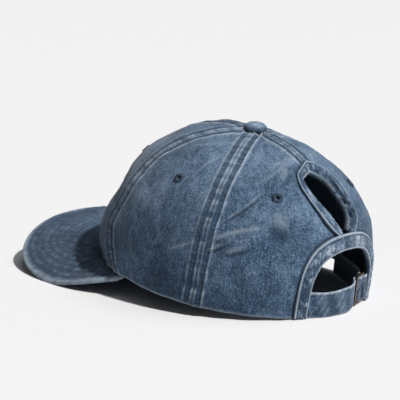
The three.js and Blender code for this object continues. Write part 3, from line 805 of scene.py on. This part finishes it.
stitched_rows = slice(2, -4)
stitch_rows = []
for side, mirror in (("left", 1), ("right", -1)):
    for panel, (seam_from, seam_to, middle_columns, seeds) in panel_seams.items():
        angle, share, distance, width, climbed = panel_grid(seam_from, seam_to, middle_columns)
        if mirror < 0:
            angle, share, distance, width, climbed = (
                grid[:, ::-1] for grid in (360 - angle, share, distance, width, climbed)
            )
        # the two sides share the centre seams, so only the other seams get new seeds on the right
        first, last = (seed + 10 * (mirror < 0) * (seed not in centre_seam_seeds) for seed in seeds)
        relief, pale, dark = crown_relief(angle, share)
        for from_seam, seed in ((distance, first), (width - distance, last)):
            height, seam_pale, seam_dark = seam_relief(from_seam, climbed, seed)
            relief, pale, dark = relief + height, pale + seam_pale, dark + seam_dark
        if panel == "back_panel":
            near_edge = edge_distance(angle, share)
            relief = relief - 0.8 * hump(near_edge, 0.5 * MM, 1.3 * MM)
            # a dark line is painted on the panel just outside each binding's edge: painted shadow of the
            # raised edge
            dark = dark + 1.2 * hump(near_edge, 0.4 * MM, 1.1 * MM)
            pale = pale * slope(near_edge, 0.3 * MM, 1.8 * MM)
        # the front panels are painted darker toward the rim: painted shade
        if panel == "front_panel":
            dark = dark + 0.3 * (1 - slope(share, 0.05, 0.5))
        placed, _ = crown_point(angle, share, relief * MM)
        placed[0, :, 2] = 0
        cloth_map = np.stack([distance - width / 2, climbed], axis=-1)
        piece = cloth_sheet(f"{panel}_cloth_{side}", stand(placed), cloth_map, pale, dark)

        keep = np.ones((angle.shape[0] - 1) * (angle.shape[1] - 1), bool)
        middle_angle, middle_share = face_means(angle), face_means(share)
        if panel == "back_panel":
            x, y = (180 - middle_angle) * degree_length, middle_share * crown_height
            for hole in (arch_hole, slit_hole):
                keep &= ~inside_outline(x, y, hole)
        eyelet_angle = eyelet_angles[panel.split("_")[0]]
        turned = np.array(float(eyelet_angle if mirror > 0 else 360 - eyelet_angle))
        eyelet_centre, _ = crown_point(turned, np.array(eyelet_share), np.array(0.0))
        away = np.linalg.norm(crown_skin(middle_angle, middle_share) - eyelet_centre, axis=-1)
        keep &= away > eyelet_cut
        trim_faces(piece, keep)

        wall = piece.modifiers.new("wall", "SOLIDIFY")
        wall.thickness = panel_wall
        wall.offset = -1
        # the wall's inner face takes the darker inside copy: painted shade
        wall.material_offset = 1
        piece.data.materials.append(denim)
        piece.data.materials.append(painted_shade_inner_denim)
        apply_all_modifiers(piece)
        place_piece(piece, "denim", f"{panel}_{side}")
        for column in (stitch_column, -stitch_column - 1):
            stitch_rows.append(stand(placed)[stitched_rows, column])

# %% [markdown]
# ## Stitches
# One stitch is a short thread that rises from the cloth and dips back into it. It is modelled once, from
# a small sphere, and copied along each row as one mesh. Instances on a curve could do this too, but here
# each copy is laid on the finished cloth and takes its direction there. A sphere primitive lists its
# faces in another order each run, so they are sorted.

# %% Stitch helpers
stitch_pitch = 2.9 * MM
stitch_half_length = 1.15 * MM
thread_radius = 0.23 * MM
stitch_arch = 0.22 * MM

bpy.ops.mesh.primitive_uv_sphere_add(segments=6, ring_count=6, radius=1)
one_stitch = bpy.context.object
stitch_shape = np.array([list(vertex.co) for vertex in one_stitch.data.vertices])[:, [2, 0, 1]]
stitch_faces = sorted(list(face.vertices) for face in one_stitch.data.polygons)
stitch_shape = stitch_shape * [stitch_half_length, thread_radius, thread_radius]
stitch_shape[:, 2] += stitch_arch * (1 - (stitch_shape[:, 0] / stitch_half_length) ** 2) - 0.6 * thread_radius
bpy.data.objects.remove(one_stitch)


def unit(vectors):
    return vectors / np.linalg.norm(vectors, axis=-1, keepdims=True)


def sew(name, rows, cloths, slot="denim"):
    """One piece with a stitch at every pitch along rows of points that lie on finished cloth pieces."""
    depsgraph = bpy.context.evaluated_depsgraph_get()
    trees = [BVHTree.FromObject(cloth, depsgraph) for cloth in cloths]
    copies = []
    for row in rows:
        length = run_lengths(row, axis=0)[-1]
        count = int(length / stitch_pitch)
        if count < 2:
            continue
        ends = even_points(row, 2 * count + 1)
        for start, middle, end in zip(ends[:-2:2], ends[1::2], ends[2::2]):
            found = [tree.find_nearest(Vector(middle)) for tree in trees]
            place, normal, _, _ = min((hit for hit in found if hit[0]), key=lambda hit: hit[3])
            along = unit(end - start)
            up = np.array(normal) - along * np.dot(normal, along)
            up = unit(up)
            frame_axes = np.stack([along, np.cross(up, along), up])
            copies.append(stitch_shape @ frame_axes + np.array(place))
    size = len(stitch_shape)
    faces = [[corner + size * at for corner in face] for at in range(len(copies)) for face in stitch_faces]
    mesh = bpy.data.meshes.new(name)
    mesh.from_pydata(np.concatenate(copies).tolist(), [], faces)
    piece = bpy.data.objects.new(name, mesh)
    bpy.context.scene.collection.objects.link(piece)
    mesh.materials.append(thread_material)
    place_piece(piece, slot)
    return piece


crown_cloths = [
    bpy.data.objects[f"{panel}_cloth_{side}"] for panel in panel_seams for side in ("left", "right")
]
sew("crown_stitches", stitch_rows, crown_cloths)

# %% [markdown]
# ## Bindings
# A binding is a bias strip folded over the raw edge of an opening, so it closes round on itself: its
# outside and inside lie on the crown's cloth, and it turns round the opening's edge. A curve with a
# profile could sweep it, but its width changes round the slit. So the section is drawn once, in
# millimetres across and above the cloth, with stitch valleys near both edges, and is fitted between two
# outlines. Round the slit the strip turns inward like a lip.

# %% Bindings
binding_section = np.array(
    [
        # across from the outer edge, above the cloth
        (0, -0.2), (0.05, 0.5), (0.35, 0.95), (0.8, 1.1), (1.25, 0.98), (1.6, 0.72), (1.9, 0.6), (2.2, 0.7),
        (2.7, 0.88), (3.3, 0.95), (4.1, 0.98), (5, 1.0), (5.9, 1.0), (6.7, 0.97), (7.3, 0.9), (7.8, 0.7),
        (8.1, 0.62), (8.4, 0.72), (8.8, 0.95), (9.3, 1.0), (9.7, 0.75), (9.95, 0.2), (10, -0.6), (9.9, -1.5),
        (9.5, -2.2), (8.5, -2.5), (7, -2.5), (5, -2.5), (3, -2.5), (1.5, -2.45), (0.5, -2.2), (0.05, -1.6),
        (0, -0.2),
    ]
)
section_across, section_height = binding_section.T
# millimetres from the outer edge
body_from = (1.7, 3)
body_to = (7.8, 9.3)
outer_edge_at, outer_valley_at = 0.7, 2.1
inner_edge_at, inner_valley_at = 9.5, 8.1
binding_stitch_columns = (6, 16)
binding_stitched_rows = slice(2, -2)
# middle and width of the arch's pale streaks, as shares of its length
streak_middle, streak_width = 0.6, 0.07
outside_section = slope(section_height, -0.2, 0.4)


def binding(name, node, outer, inner, sinks, seed, inner_wear, lift=0, streak=0):
    part = section_across / 10
    places = outer[:, None] * (1 - part[:, None]) + inner[:, None] * part[:, None]
    run = run_lengths(outer, axis=0)[:, None]
    width = np.linalg.norm(outer - inner, axis=-1)[:, None]
    across = width * part
    flat_place = np.stack([run + 0 * across, across + 0 * run, 0 * (run + across)], axis=-1)
    pucker = ripple(run + 1.2 * across, 3.6 * MM, seed, waves=9)
    blot = dents(flat_place * [1, 0.6, 1], 8 * MM, seed + 7)
    speck = dents(flat_place, 3.2 * MM, seed + 9)
    body = slope(section_across, *body_from) * (1 - slope(section_across, *body_to)) * outside_section
    height = section_height + 0.13 * pucker * outside_section + body * (0.22 * blot + 0.1 * speck) + lift
    height = height + 0.25 * ripple(run, 21 * MM, seed + 3)
    half_width = np.abs(outer[:, 0]).max()
    sink = sinks[1] + (sinks[0] - sinks[1]) * slope(outer[:, :1], -half_width, half_width)
    angle = 180 - places[..., 0] / degree_length
    points, _ = crown_point(angle, places[..., 1] / crown_height, height * MM - sink * MM * part**1.5)
    pale = outside_section * hump(section_across, outer_edge_at, 0.62) * np.clip(0.95 + 0.1 * blot, 0, 1)
    inner_edge_wear = np.clip(inner_wear + 0.3 * pucker, 0, 1)
    pale = pale + outside_section * hump(section_across, inner_edge_at, 0.6) * inner_edge_wear
    pale = pale + body * np.clip(0.42 * blot + 0.26 * speck + 0.2 * pucker, 0, 0.8)
    streaks = np.clip(0.45 + 0.55 * ripple(run + 0.3 * across, 2.6 * MM, seed + 4), 0, 1)
    pale = pale + body * streak * streaks * hump(run / run[-1], streak_middle, streak_width)
    dark = outside_section * hump(section_across, outer_valley_at, 0.6) * 0.95
    dark = dark + outside_section * hump(section_across, inner_valley_at, 0.5) * inner_wear * 0.7
    # the part of the strip below the cloth, inside the cap, is painted dark: painted shade
    dark = dark + body * np.clip(0.14 - 0.6 * blot - 0.3 * speck, 0, 0.95) + (1 - outside_section) * 0.8
    cloth_map = np.stack([across + 0 * run, run + 0 * across], axis=-1)
    piece = cloth_sheet(name, stand(points), cloth_map, pale, dark)
    piece.data.materials.append(denim)
    close_strip(piece)
    place_piece(piece, "denim", node)
    rows = [stand(points)[binding_stitched_rows, column] for column in binding_stitch_columns]
    return piece, rows


arch_edge = arch_outline(0, 301)
arch_inner = arch_outline(arch_binding_width, 301)
slit_edge = slit_outline(slit_cut, slit_cut_top, 301)
slit_inner = slit_outline(slit_opening, slit_opening_top, 301)
slit_sinks = (slit_sink_left, slit_sink_right)
arch_sinks = (0, 0)
arch_strip, arch_rows = binding(
    "arch_binding_cloth",
    "arch_binding",
    arch_edge,
    arch_inner,
    arch_sinks,
    seed=61,
    inner_wear=0.95,
    lift=0.25,
    streak=0.75,
)
slit_strip, slit_rows = binding(
    "slit_binding_cloth", "slit_binding", slit_edge, slit_inner, slit_sinks, seed=72, inner_wear=0.55
)
sew("binding_stitches", [*arch_rows, slit_rows[0]], [arch_strip, slit_strip])

# %% [markdown]
# ## Peak
# The peak is a stiff curved board between two cloths. A flat board could be bent by a Simple Deform
# modifier, but it has to end exactly at the crown's rim. So lines run from the rim to the peak's free
# edge, and each line goes over the top, round the rounded edge and back underneath. Rows of stitches
# follow the free edge, with the cloth slightly raised between them, and the edge itself is rubbed pale.

# %% Peak sizes
peak_half_angle = 74.5
peak_half_width = 93.1 * MM
peak_widest_ahead = 82.9 * MM
peak_tip_ahead = 175.7 * MM
peak_roundness = 2.36
peak_thickness = 2.8 * MM
peak_side_drop = 20.4 * MM
peak_tip_drop = 3.5 * MM
peak_tuck = 1.2 * MM
seam_gap = 0.3 * MM
peak_rows_at = np.array([5, 10, 15, 20, 25, 30, 35, 40]) * MM
print("peak, length at the middle:", round(peak_tip_ahead - crown_half_length, 4))


def peak_edge(part):
    rim = crown_skin(peak_half_angle, 0.0)
    front_part = 0.62
    turn = np.pi / 2 * np.clip(part / front_part, 0, 1)
    back = np.clip((part - front_part) / (1 - front_part), 0, 1)
    ahead = np.cos(turn) ** (2 / peak_roundness)
    x = peak_half_width * np.sin(turn) ** (2 / peak_roundness)
    y = -peak_widest_ahead - (peak_tip_ahead - peak_widest_ahead) * ahead
    x = x + (rim[0] + MM - peak_half_width) * back**2
    y = y + (rim[1] - 0.3 * MM + peak_widest_ahead) * back
    return np.stack([x, y], axis=-1)


def peak_edge_height(place):
    corner = crown_skin(peak_half_angle, 0.0)[1]
    x, y = place[..., 0], place[..., 1]
    tip = np.clip((-crown_half_length - y) / (peak_tip_ahead - crown_half_length), 0, 1)
    along = np.clip((corner - y) / (0.7 * (peak_tip_ahead - crown_half_length + 10 * MM)), 0, 1)
    aside = (x / peak_half_width) ** 2
    return -seam_gap - peak_tip_drop * tip - (peak_side_drop - seam_gap) * aside * along**0.8


# %% Peak mesh
half_columns = 120
part = np.abs(np.linspace(-1, 1, 2 * half_columns + 1))
mirror = np.sign(np.linspace(-1, 1, 2 * half_columns + 1))
half_edge = even_points(peak_edge(np.linspace(0, 1, 2001)), half_columns + 1)
edge = half_edge[np.abs(np.arange(-half_columns, half_columns + 1))]
rim = crown_skin(peak_half_angle * part, np.zeros_like(part))[:, :2]
reach = np.linalg.norm(edge - rim, axis=-1)
thickness = np.minimum(peak_thickness, 0.8 * reach + 0.5 * MM)

top_lines = 64
nose_lines = 9
top_steps = 1 - (1 - np.linspace(0, 1, top_lines)) ** 1.25
nose_turn = np.radians(np.linspace(75, -75, nose_lines))
top = np.outer(top_steps, reach - thickness / 2 + peak_tuck) - peak_tuck
nose = (reach - thickness / 2) + np.outer(np.cos(nose_turn), thickness / 2)
out = np.concatenate([top, nose, top[::-1], top[:1]])
level = np.concatenate(
    [
        np.zeros_like(top),
        np.outer((1 - np.sin(nose_turn)) / 2, thickness),
        np.ones_like(top) * thickness,
        0 * top[:1],
    ]
)
share_out = out / reach
plan = rim + (edge - rim) * share_out[..., None]
height = -seam_gap + (peak_edge_height(edge) + seam_gap) * np.clip(share_out, 0, None) ** 1.15 - level

full_edge = np.concatenate([half_edge[::-1] * [-1, 1], half_edge[1:]])
from_edge = np.linalg.norm(plan.reshape(-1, 1, 2) - full_edge[None, ::2], axis=-1).min(axis=1)
from_edge = from_edge.reshape(plan.shape[:2])
run_edge = run_lengths(edge, axis=0)
upper = 1 - 2 * (level > thickness / 2)
groove = sum(hump(from_edge, at, 1.3 * MM) for at in peak_rows_at)
dimple = sum(
    hump(from_edge, at, 1.5 * MM) * np.cos(2 * np.pi * (run_edge / stitch_pitch + 0.37 * number))
    for number, at in enumerate(peak_rows_at)
)
blot = ripple(run_edge - 0.2 * from_edge, 9 * MM, 82)
rounding = np.concatenate([np.ones(top_lines), np.zeros(nose_lines), np.ones(top_lines + 1)])[:, None]
stitched = slope(from_edge, 2 * MM, 4 * MM) * (1 - slope(from_edge, 40 * MM, 46 * MM))
space = np.stack([plan[..., 0] * mirror, plan[..., 1], height], axis=-1)
lump, speck = dents(space, 7 * MM, 85), dents(space, 3.5 * MM, 86)
relief = (-0.3 * groove - 0.1 * dimple + 0.08 * speck) * stitched * rounding
relief = relief + (0.35 * dents(space, 28 * MM, 83) + 0.12 * lump) * rounding * slope(out, 0, 8 * MM)
space[..., 2] += relief * MM * upper
pale = np.clip(hump(from_edge, 0.4 * MM, 2.2 * MM) * (0.7 + 0.12 * blot), 0, 1)
pale = pale + stitched * np.clip(0.1 * lump + 0.1 * speck - 0.04 * dimple, 0, 0.25) * (1 - groove)
dark = stitched * np.clip(groove * (0.45 + 0.4 * dimple + 0.2 * speck), 0, 0.85)
# the underside is painted darker: painted shade
dark = dark + np.clip(0.4 - 0.2 * lump, 0, 0.7) * slope(from_edge, 2 * MM, 6 * MM) + 0.5 * (upper < 0)
peak_map = np.stack([plan[..., 0] * mirror, plan[..., 1]], axis=-1)
peak_points = stand(space)
peak_cloth = cloth_sheet(
    "peak_cloth", peak_points.transpose(1, 0, 2), peak_map.transpose(1, 0, 2), pale.T, dark.T
)
peak_cloth.data.materials.append(denim)
close_strip(peak_cloth)
place_piece(peak_cloth, "denim", "peak")


def peak_row(at):
    """Plan line a distance inside the free edge, laid on the peak's top."""
    tangent = np.gradient(full_edge, axis=0)
    inward = unit(np.stack([tangent[:, 1], -tangent[:, 0]], axis=-1))
    centre = np.array([0, -crown_half_length])
    inward *= np.sign(((centre - full_edge) * inward).sum(axis=1))[:, None]
    line = full_edge + inward * at
    gaps = np.linalg.norm(line[:, None] - full_edge[None], axis=-1).min(axis=1)
    skin = crown_skin(np.linspace(-90, 90, 181), np.full(181, 0.02))[:, :2]
    inside = inside_outline(line[:, 0], line[:, 1], skin)
    keep = (gaps > at - 0.2 * MM) & ~inside & (line[:, 1] < -20 * MM)
    return line[keep]


peak_top = BVHTree.FromObject(peak_cloth, bpy.context.evaluated_depsgraph_get())
peak_lines = []
for at in peak_rows_at:
    line = peak_row(at)
    flat = np.concatenate([line, np.zeros((len(line), 1))], axis=1)
    above = stand(flat) + [0, 0, 0.05]
    hits = [peak_top.ray_cast(Vector(point), Vector((0, 0, -1)))[0] for point in above]
    peak_lines.append(np.array([list(hit) for hit in hits if hit]))
sew("peak_stitches", peak_lines, [peak_cloth])

# %% [markdown]
# ## Strap, tab and slide
# The strap and the tab are folded strips, so each is a thin closed section swept along a plan path beside
# the rim. A curve object could sweep them too, but a grid carries the cloth map and the wear. The strap
# goes under the slide's first bar, over its middle bar and inside the tab, and the tab loops round the
# last bar.

# %% Strap sizes
strap_width = 17 * MM
strap_thickness = 1.2 * MM
strap_bulge = 3 * MM
slide_angle = 194.4
slide_height = 20.6 * MM
slide_bar = 1.4 * MM
bar_spacing = 6 * MM
slide_sink = 2 * MM
middle_bar_sink = 1.2 * MM
rest_press = 0.6 * MM
strap_section = np.array(
    [
        # up the strap as a share of its width, outward as a share of its thickness
        (0.0, 0), (0.006, 0.36), (0.03, 0.56), (0.06, 0.52), (0.085, 0.4), (0.11, 0.52), (0.17, 0.56),
        (0.26, 0.55), (0.36, 0.54), (0.5, 0.54), (0.64, 0.54), (0.74, 0.55), (0.83, 0.56), (0.89, 0.52),
        (0.915, 0.4), (0.94, 0.52), (0.97, 0.56), (0.994, 0.36), (1.0, 0), (0.994, -0.36), (0.96, -0.5),
        (0.8, -0.5), (0.6, -0.5), (0.4, -0.5), (0.2, -0.5), (0.04, -0.5), (0.006, -0.36), (0.0, 0),
    ]
)
up_strap, out_strap = strap_section.T
strap_stitch_columns = (4, 14)
strap_columns = 440


def rim_normal(angle):
    normal = surface_normal(crown_cloth, np.array(float(angle)), np.array(0.05))
    return unit(normal[:2])


def rim_place(angle, outward):
    return crown_skin(np.array(float(angle)), np.array(0.0))[:2] + rim_normal(angle) * outward


def strip(name, node, path, bottom_at, seed, columns=260):
    """A folded strip that stands upright along a plan path. A path place may also give a height."""
    path = np.array([[*place, 0][:3] for place in path])
    line = even_points(smooth_through(path), columns)
    run = run_lengths(line, axis=0)[:, None]
    tangent = unit(np.gradient(line[:, :2], axis=0))
    outward = np.stack([tangent[:, 1], -tangent[:, 0]], axis=-1)
    pucker = ripple(run, 5 * MM, seed)
    blot = ripple(run + 6 * MM * up_strap, 9 * MM, seed + 5)
    speck = ripple(run - 9 * MM * up_strap, 4 * MM, seed + 6)
    outside = out_strap > 0.3
    edges = hump(up_strap, 0.09, 0.06) + hump(up_strap, 0.91, 0.06)
    crumple = (0.14 * pucker * edges + 0.1 * blot + 0.05 * speck) * MM * (out_strap > 0)
    offset = out_strap * strap_thickness + crumple
    plan = line[:, None, :2] + outward[:, None] * offset[..., None]
    up = line[:, 2:] + bottom_at(run / run[-1]) + strap_width * up_strap
    up = up + 0.14 * MM * ripple(run, 16 * MM, seed + 2)
    points = stand(np.concatenate([plan, up[..., None]], axis=-1))
    pale = hump(up_strap, 1.0, 0.045) + 0.6 * hump(up_strap, 0.93, 0.024) * outside
    pale = pale + 0.9 * hump(up_strap, 0.0, 0.035)
    pale = pale * np.clip(0.85 + 0.2 * pucker, 0, 1)
    pale = pale + np.clip(0.16 * blot + 0.1 * speck, 0, 0.4) * outside
    dark = (0.85 * hump(up_strap, 0.88, 0.028) + 0.65 * hump(up_strap, 0.08, 0.028)) * outside
    # the strap's inner face is painted dark: painted shade
    dark = dark + np.clip(0.12 - 0.2 * blot - 0.08 * speck, 0, 0.5) + 0.7 * (out_strap < -0.3)
    cloth_map = np.stack([strap_width * up_strap + 0 * run, run + 0 * up_strap], axis=-1)
    piece = cloth_sheet(name, points, cloth_map, pale, dark)
    piece.data.materials.append(denim)
    close_strip(piece)
    place_piece(piece, "denim", node)
    return piece, [points[:, column] for column in strap_stitch_columns]


# %% Strap and tab
under_bar = slide_bar / 2 + 1.5 * seam_gap + strap_thickness / 2
strap_bottom = (slide_height - strap_width + rest_press) / 2
strap_top_share = (strap_bottom + strap_width) / (arch_top - arch_binding_width)
leg_half_width = arch_half_angle * degree_length - arch_binding_width
leg_share = (1 - strap_top_share**arch_top_roundness) ** (1 / arch_leg_roundness)
strap_reach = leg_half_width * leg_share / degree_length
tucked = 3.2
strap_rise_from, strap_rise_to = 0.11, 0.3


def slide_place(along, outward):
    return rim_place(slide_angle + along / degree_length, outward - slide_sink)


half = strap_thickness / 2
tail_sink = -under_bar - strap_thickness - seam_gap
start = 180 - strap_reach
strap_path = [
    rim_place(start - tucked, -0.9 * MM),
    rim_place(start, -0.6 * MM),
    rim_place(start + 6, strap_bulge * 0.5),
    rim_place(start + 13, strap_bulge * 0.9),
    rim_place(180, strap_bulge),
    slide_place(-2.4 * bar_spacing, strap_bulge * 0.7),
    slide_place(-bar_spacing - slide_bar, -under_bar),
    slide_place(-bar_spacing + half, -under_bar),
    slide_place(-slide_bar * 0.7, under_bar - middle_bar_sink),
    slide_place(slide_bar * 0.6, under_bar - middle_bar_sink),
    slide_place(under_bar + seam_gap, half - middle_bar_sink),
    slide_place(bar_spacing - 3 * half, tail_sink + 0.1 * MM),
    slide_place(bar_spacing, tail_sink),
    slide_place(2 * bar_spacing, tail_sink - half),
]
strap_tail = [
    # angle, inward and height above the rim in mm: the free end lies inside the crown
    (212, 7.5, -1),
    (222, 9.5, -2.6),
    (232, 10.5, -4.2),
    (242, 9.5, -5.6),
    (250, 7.5, -6.6),
]
for tail_angle, inward, tail_height in strap_tail:
    strap_path.append([*rim_place(tail_angle, -inward * MM), tail_height * MM - strap_bottom])


def strap_rise(part):
    return strap_bottom * slope(part, strap_rise_from, strap_rise_to)


def tab_rise(part):
    return strap_bottom + 0 * part


strap, strap_rows = strip("strap_cloth", "strap", strap_path, strap_rise, 91, strap_columns)

bar_angle = slide_angle + bar_spacing / degree_length
last_bar = rim_place(bar_angle, -slide_sink)
outward = rim_normal(bar_angle)
to_middle = np.array([outward[1], -outward[0]])
tab_start = 180 + strap_reach
tab_path = [
    rim_place(tab_start + tucked, -0.9 * MM),
    rim_place(tab_start, -0.5 * MM),
    rim_place((tab_start + bar_angle) / 2, under_bar - slide_sink),
]
for turn in np.linspace(0, np.pi, 7):
    tab_path.append(last_bar + under_bar * (np.cos(turn) * outward + np.sin(turn) * to_middle))
tab_path.append(last_bar - under_bar * outward - 2.2 * MM * to_middle)
tab, tab_rows = strip("strap_tab_cloth", "strap_tab", tab_path[::-1], tab_rise, 95)
sew("strap_stitches", [*strap_rows, *tab_rows], [strap, tab])

# %% [markdown]
# The slide is a bronze frame with three bars. It could be extruded from a plane, but the measured solid
# is right in size and only has knife edges. So a merged copy of it gets a small bevel, and a brown metal
# with uneven tarnish.

# %% Slide
bronze, bronze_shader = finish("aged_bronze")
bronze_kit = NodeKit(bronze)
bronze_place = bronze_kit.add("ShaderNodeTexCoord").outputs["Object"]
tarnish = bronze_kit.spread(bronze_kit.noise(bronze_place, 420, 3, 0.6), 0.35, 0.65)
bronze_colour = bronze_kit.mix(tarnish, (0.24, 0.175, 0.13, 1), (0.075, 0.056, 0.043, 1))
bronze_kit.tree.links.new(bronze_colour, bronze_shader.inputs["Base Color"])
bronze_shader.inputs["Metallic"].default_value = 1
bronze_shader.inputs["Roughness"].default_value = 0.34

deselect_all()
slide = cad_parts["strap_slide"].copy()
slide.data = slide.data.copy()
slide.name = "slide_metal"
slide.parent = None
for key in list(slide.keys()):
    del slide[key]
bpy.context.scene.collection.objects.link(slide)
slide.select_set(True)
bpy.context.view_layer.objects.active = slide
bpy.ops.object.mode_set(mode="EDIT")
bpy.ops.mesh.select_all(action="SELECT")
bpy.ops.mesh.remove_doubles(threshold=0.00002)
bpy.ops.mesh.dissolve_limited(angle_limit=np.radians(2))
bpy.ops.object.mode_set(mode="OBJECT")
rounding = slide.modifiers.new("worn_edges", "BEVEL")
rounding.width = 0.32 * MM
rounding.segments = 3
rounding.limit_method = "ANGLE"
rounding.angle_limit = np.radians(40)
apply_all_modifiers(slide)
slide.data.materials.clear()
slide.data.materials.append(bronze)
place_piece(slide, "slide_bronze", "strap_slide")

# %% [markdown]
# ## Button and eyelets
# The button is a small shell covered in the same cloth, gathered underneath, so a sphere is flattened into
# a dome with soft gathers at its lower edge. Its faces are sorted as the stitch's are. An eyelet is a hole
# overcast with thread. The thread could be wound as a real helix, but at this size a ring with a low ridge
# for each turn of thread is enough.

# %% Button
_, button_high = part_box("top_button")
button_radius = 7.8 * MM
button_height = 4.9 * MM
button_top = (button_high.z - crown_seat[2]) / np.cos(front_tip) + 0.65 * MM
deselect_all()
bpy.ops.mesh.primitive_uv_sphere_add(segments=96, ring_count=40, radius=1)
button = bpy.context.object
button.name = "top_button_cloth"
shape = np.array([list(vertex.co) for vertex in button.data.vertices])
button_faces = sorted(list(face.vertices) for face in button.data.polygons)
button.data.clear_geometry()
button.data.from_pydata(shape.tolist(), [], button_faces)
turn = np.arctan2(shape[:, 1], shape[:, 0])
around = np.hypot(shape[:, 0], shape[:, 1])
gather = sum(np.sin(count * turn + count) for count in (9, 13, 17)) / 3
low = slope(-shape[:, 2], -0.45, 0.25)
flat = np.sign(shape[:, 2]) * np.abs(shape[:, 2]) ** 0.9
radius = button_radius * around**0.82 * (1 + 0.018 * gather * low)
button_points = np.stack(
    [
        radius * np.cos(turn),
        apex_setback + radius * np.sin(turn),
        button_top - button_height * np.where(flat > 0, 1 - flat, 1 - 0.35 * flat),
    ],
    axis=-1,
)
button_points[:, 2] += 0.12 * MM * dents(button_points, 6 * MM, 32)
button.data.vertices.foreach_set("co", stand(button_points).astype(np.float32).ravel())
button.data.uv_layers.new(name="cloth")
corners = np.zeros(len(button.data.loops), np.int32)
button.data.loops.foreach_get("vertex_index", corners)
button.data.uv_layers[0].data.foreach_set("uv", button_points[corners][:, :2].astype(np.float32).ravel())
crumple = dents(button_points, 3.5 * MM, 33)
button_rub = 0.35 * low * np.clip(gather, 0, 1) + (0.42 + 0.2 * crumple) * slope(shape[:, 2], 0.35, 0.8)
set_attribute(button, "rub", np.clip(button_rub, 0, 1))
# the button's lower half is painted darker: painted shade under the dome
set_attribute(button, "deep", np.clip(slope(-shape[:, 2], -0.5, 0.0) * 0.9, 0, 1))
button.data.materials.append(denim)
button.data.update()
place_piece(button, "denim", "top_button")

# %% Eyelets
eyelet_thread, eyelet_shader = finish("eyelet_thread")
eyelet_kit = NodeKit(eyelet_thread)
eyelet_place = eyelet_kit.add("ShaderNodeTexCoord").outputs["Object"]
eyelet_wear = eyelet_kit.spread(eyelet_kit.noise(eyelet_place, 900, 3, 0.6), 0.45, 0.75)
eyelet_colour = eyelet_kit.mix(eyelet_wear, (0.022, 0.038, 0.07, 1), (0.085, 0.13, 0.21, 1))
eyelet_kit.tree.links.new(eyelet_colour, eyelet_shader.inputs["Base Color"])
eyelet_shader.inputs["Roughness"].default_value = 0.75

ring_middle = 2.1 * MM
ring_thickness = 1.3 * MM
thread_turns = 40
deselect_all()
bpy.ops.mesh.primitive_torus_add(major_segments=160, minor_segments=14, major_radius=1, minor_radius=0.5)
ring = bpy.context.object
ring_shape = np.array([list(vertex.co) for vertex in ring.data.vertices])
turn = np.arctan2(ring_shape[:, 1], ring_shape[:, 0])
section_x = (np.hypot(ring_shape[:, 0], ring_shape[:, 1]) - 1) * 2
section_z = ring_shape[:, 2] * 2
ridge = 1 + 0.09 * np.cos(thread_turns * turn) + 0.07 * ripple(turn * 2.5 * MM, 2.5 * MM, 41)
ring_radius = ring_middle + ring_thickness * section_x * ridge
ring_local = np.stack(
    [ring_radius * np.cos(turn), ring_radius * np.sin(turn), section_z * ridge * 1.2 * MM - 0.4 * MM], axis=-1
)
for panel, eyelet_angle in eyelet_angles.items():
    for side, mirror in (("left", 1), ("right", -1)):
        angle = np.array(float(eyelet_angle if mirror > 0 else 360 - eyelet_angle))
        centre, normal = crown_point(angle, np.array(eyelet_share), np.array(0.0))
        sideways = unit(np.cross([0, 0, 1], normal))
        axes = np.stack([sideways * 1.08, np.cross(normal, sideways), normal])
        eyelet = ring.copy()
        eyelet.data = ring.data.copy()
        eyelet.name = f"eyelet_ring_{panel}_{side}"
        bpy.context.scene.collection.objects.link(eyelet)
        eyelet.data.vertices.foreach_set("co", stand(ring_local @ axes + centre).astype(np.float32).ravel())
        eyelet.data.materials.append(eyelet_thread)
        eyelet.data.update()
        place_piece(eyelet, "eyelet_thread", f"eyelet_{panel}_{side}")
bpy.data.objects.remove(ring)
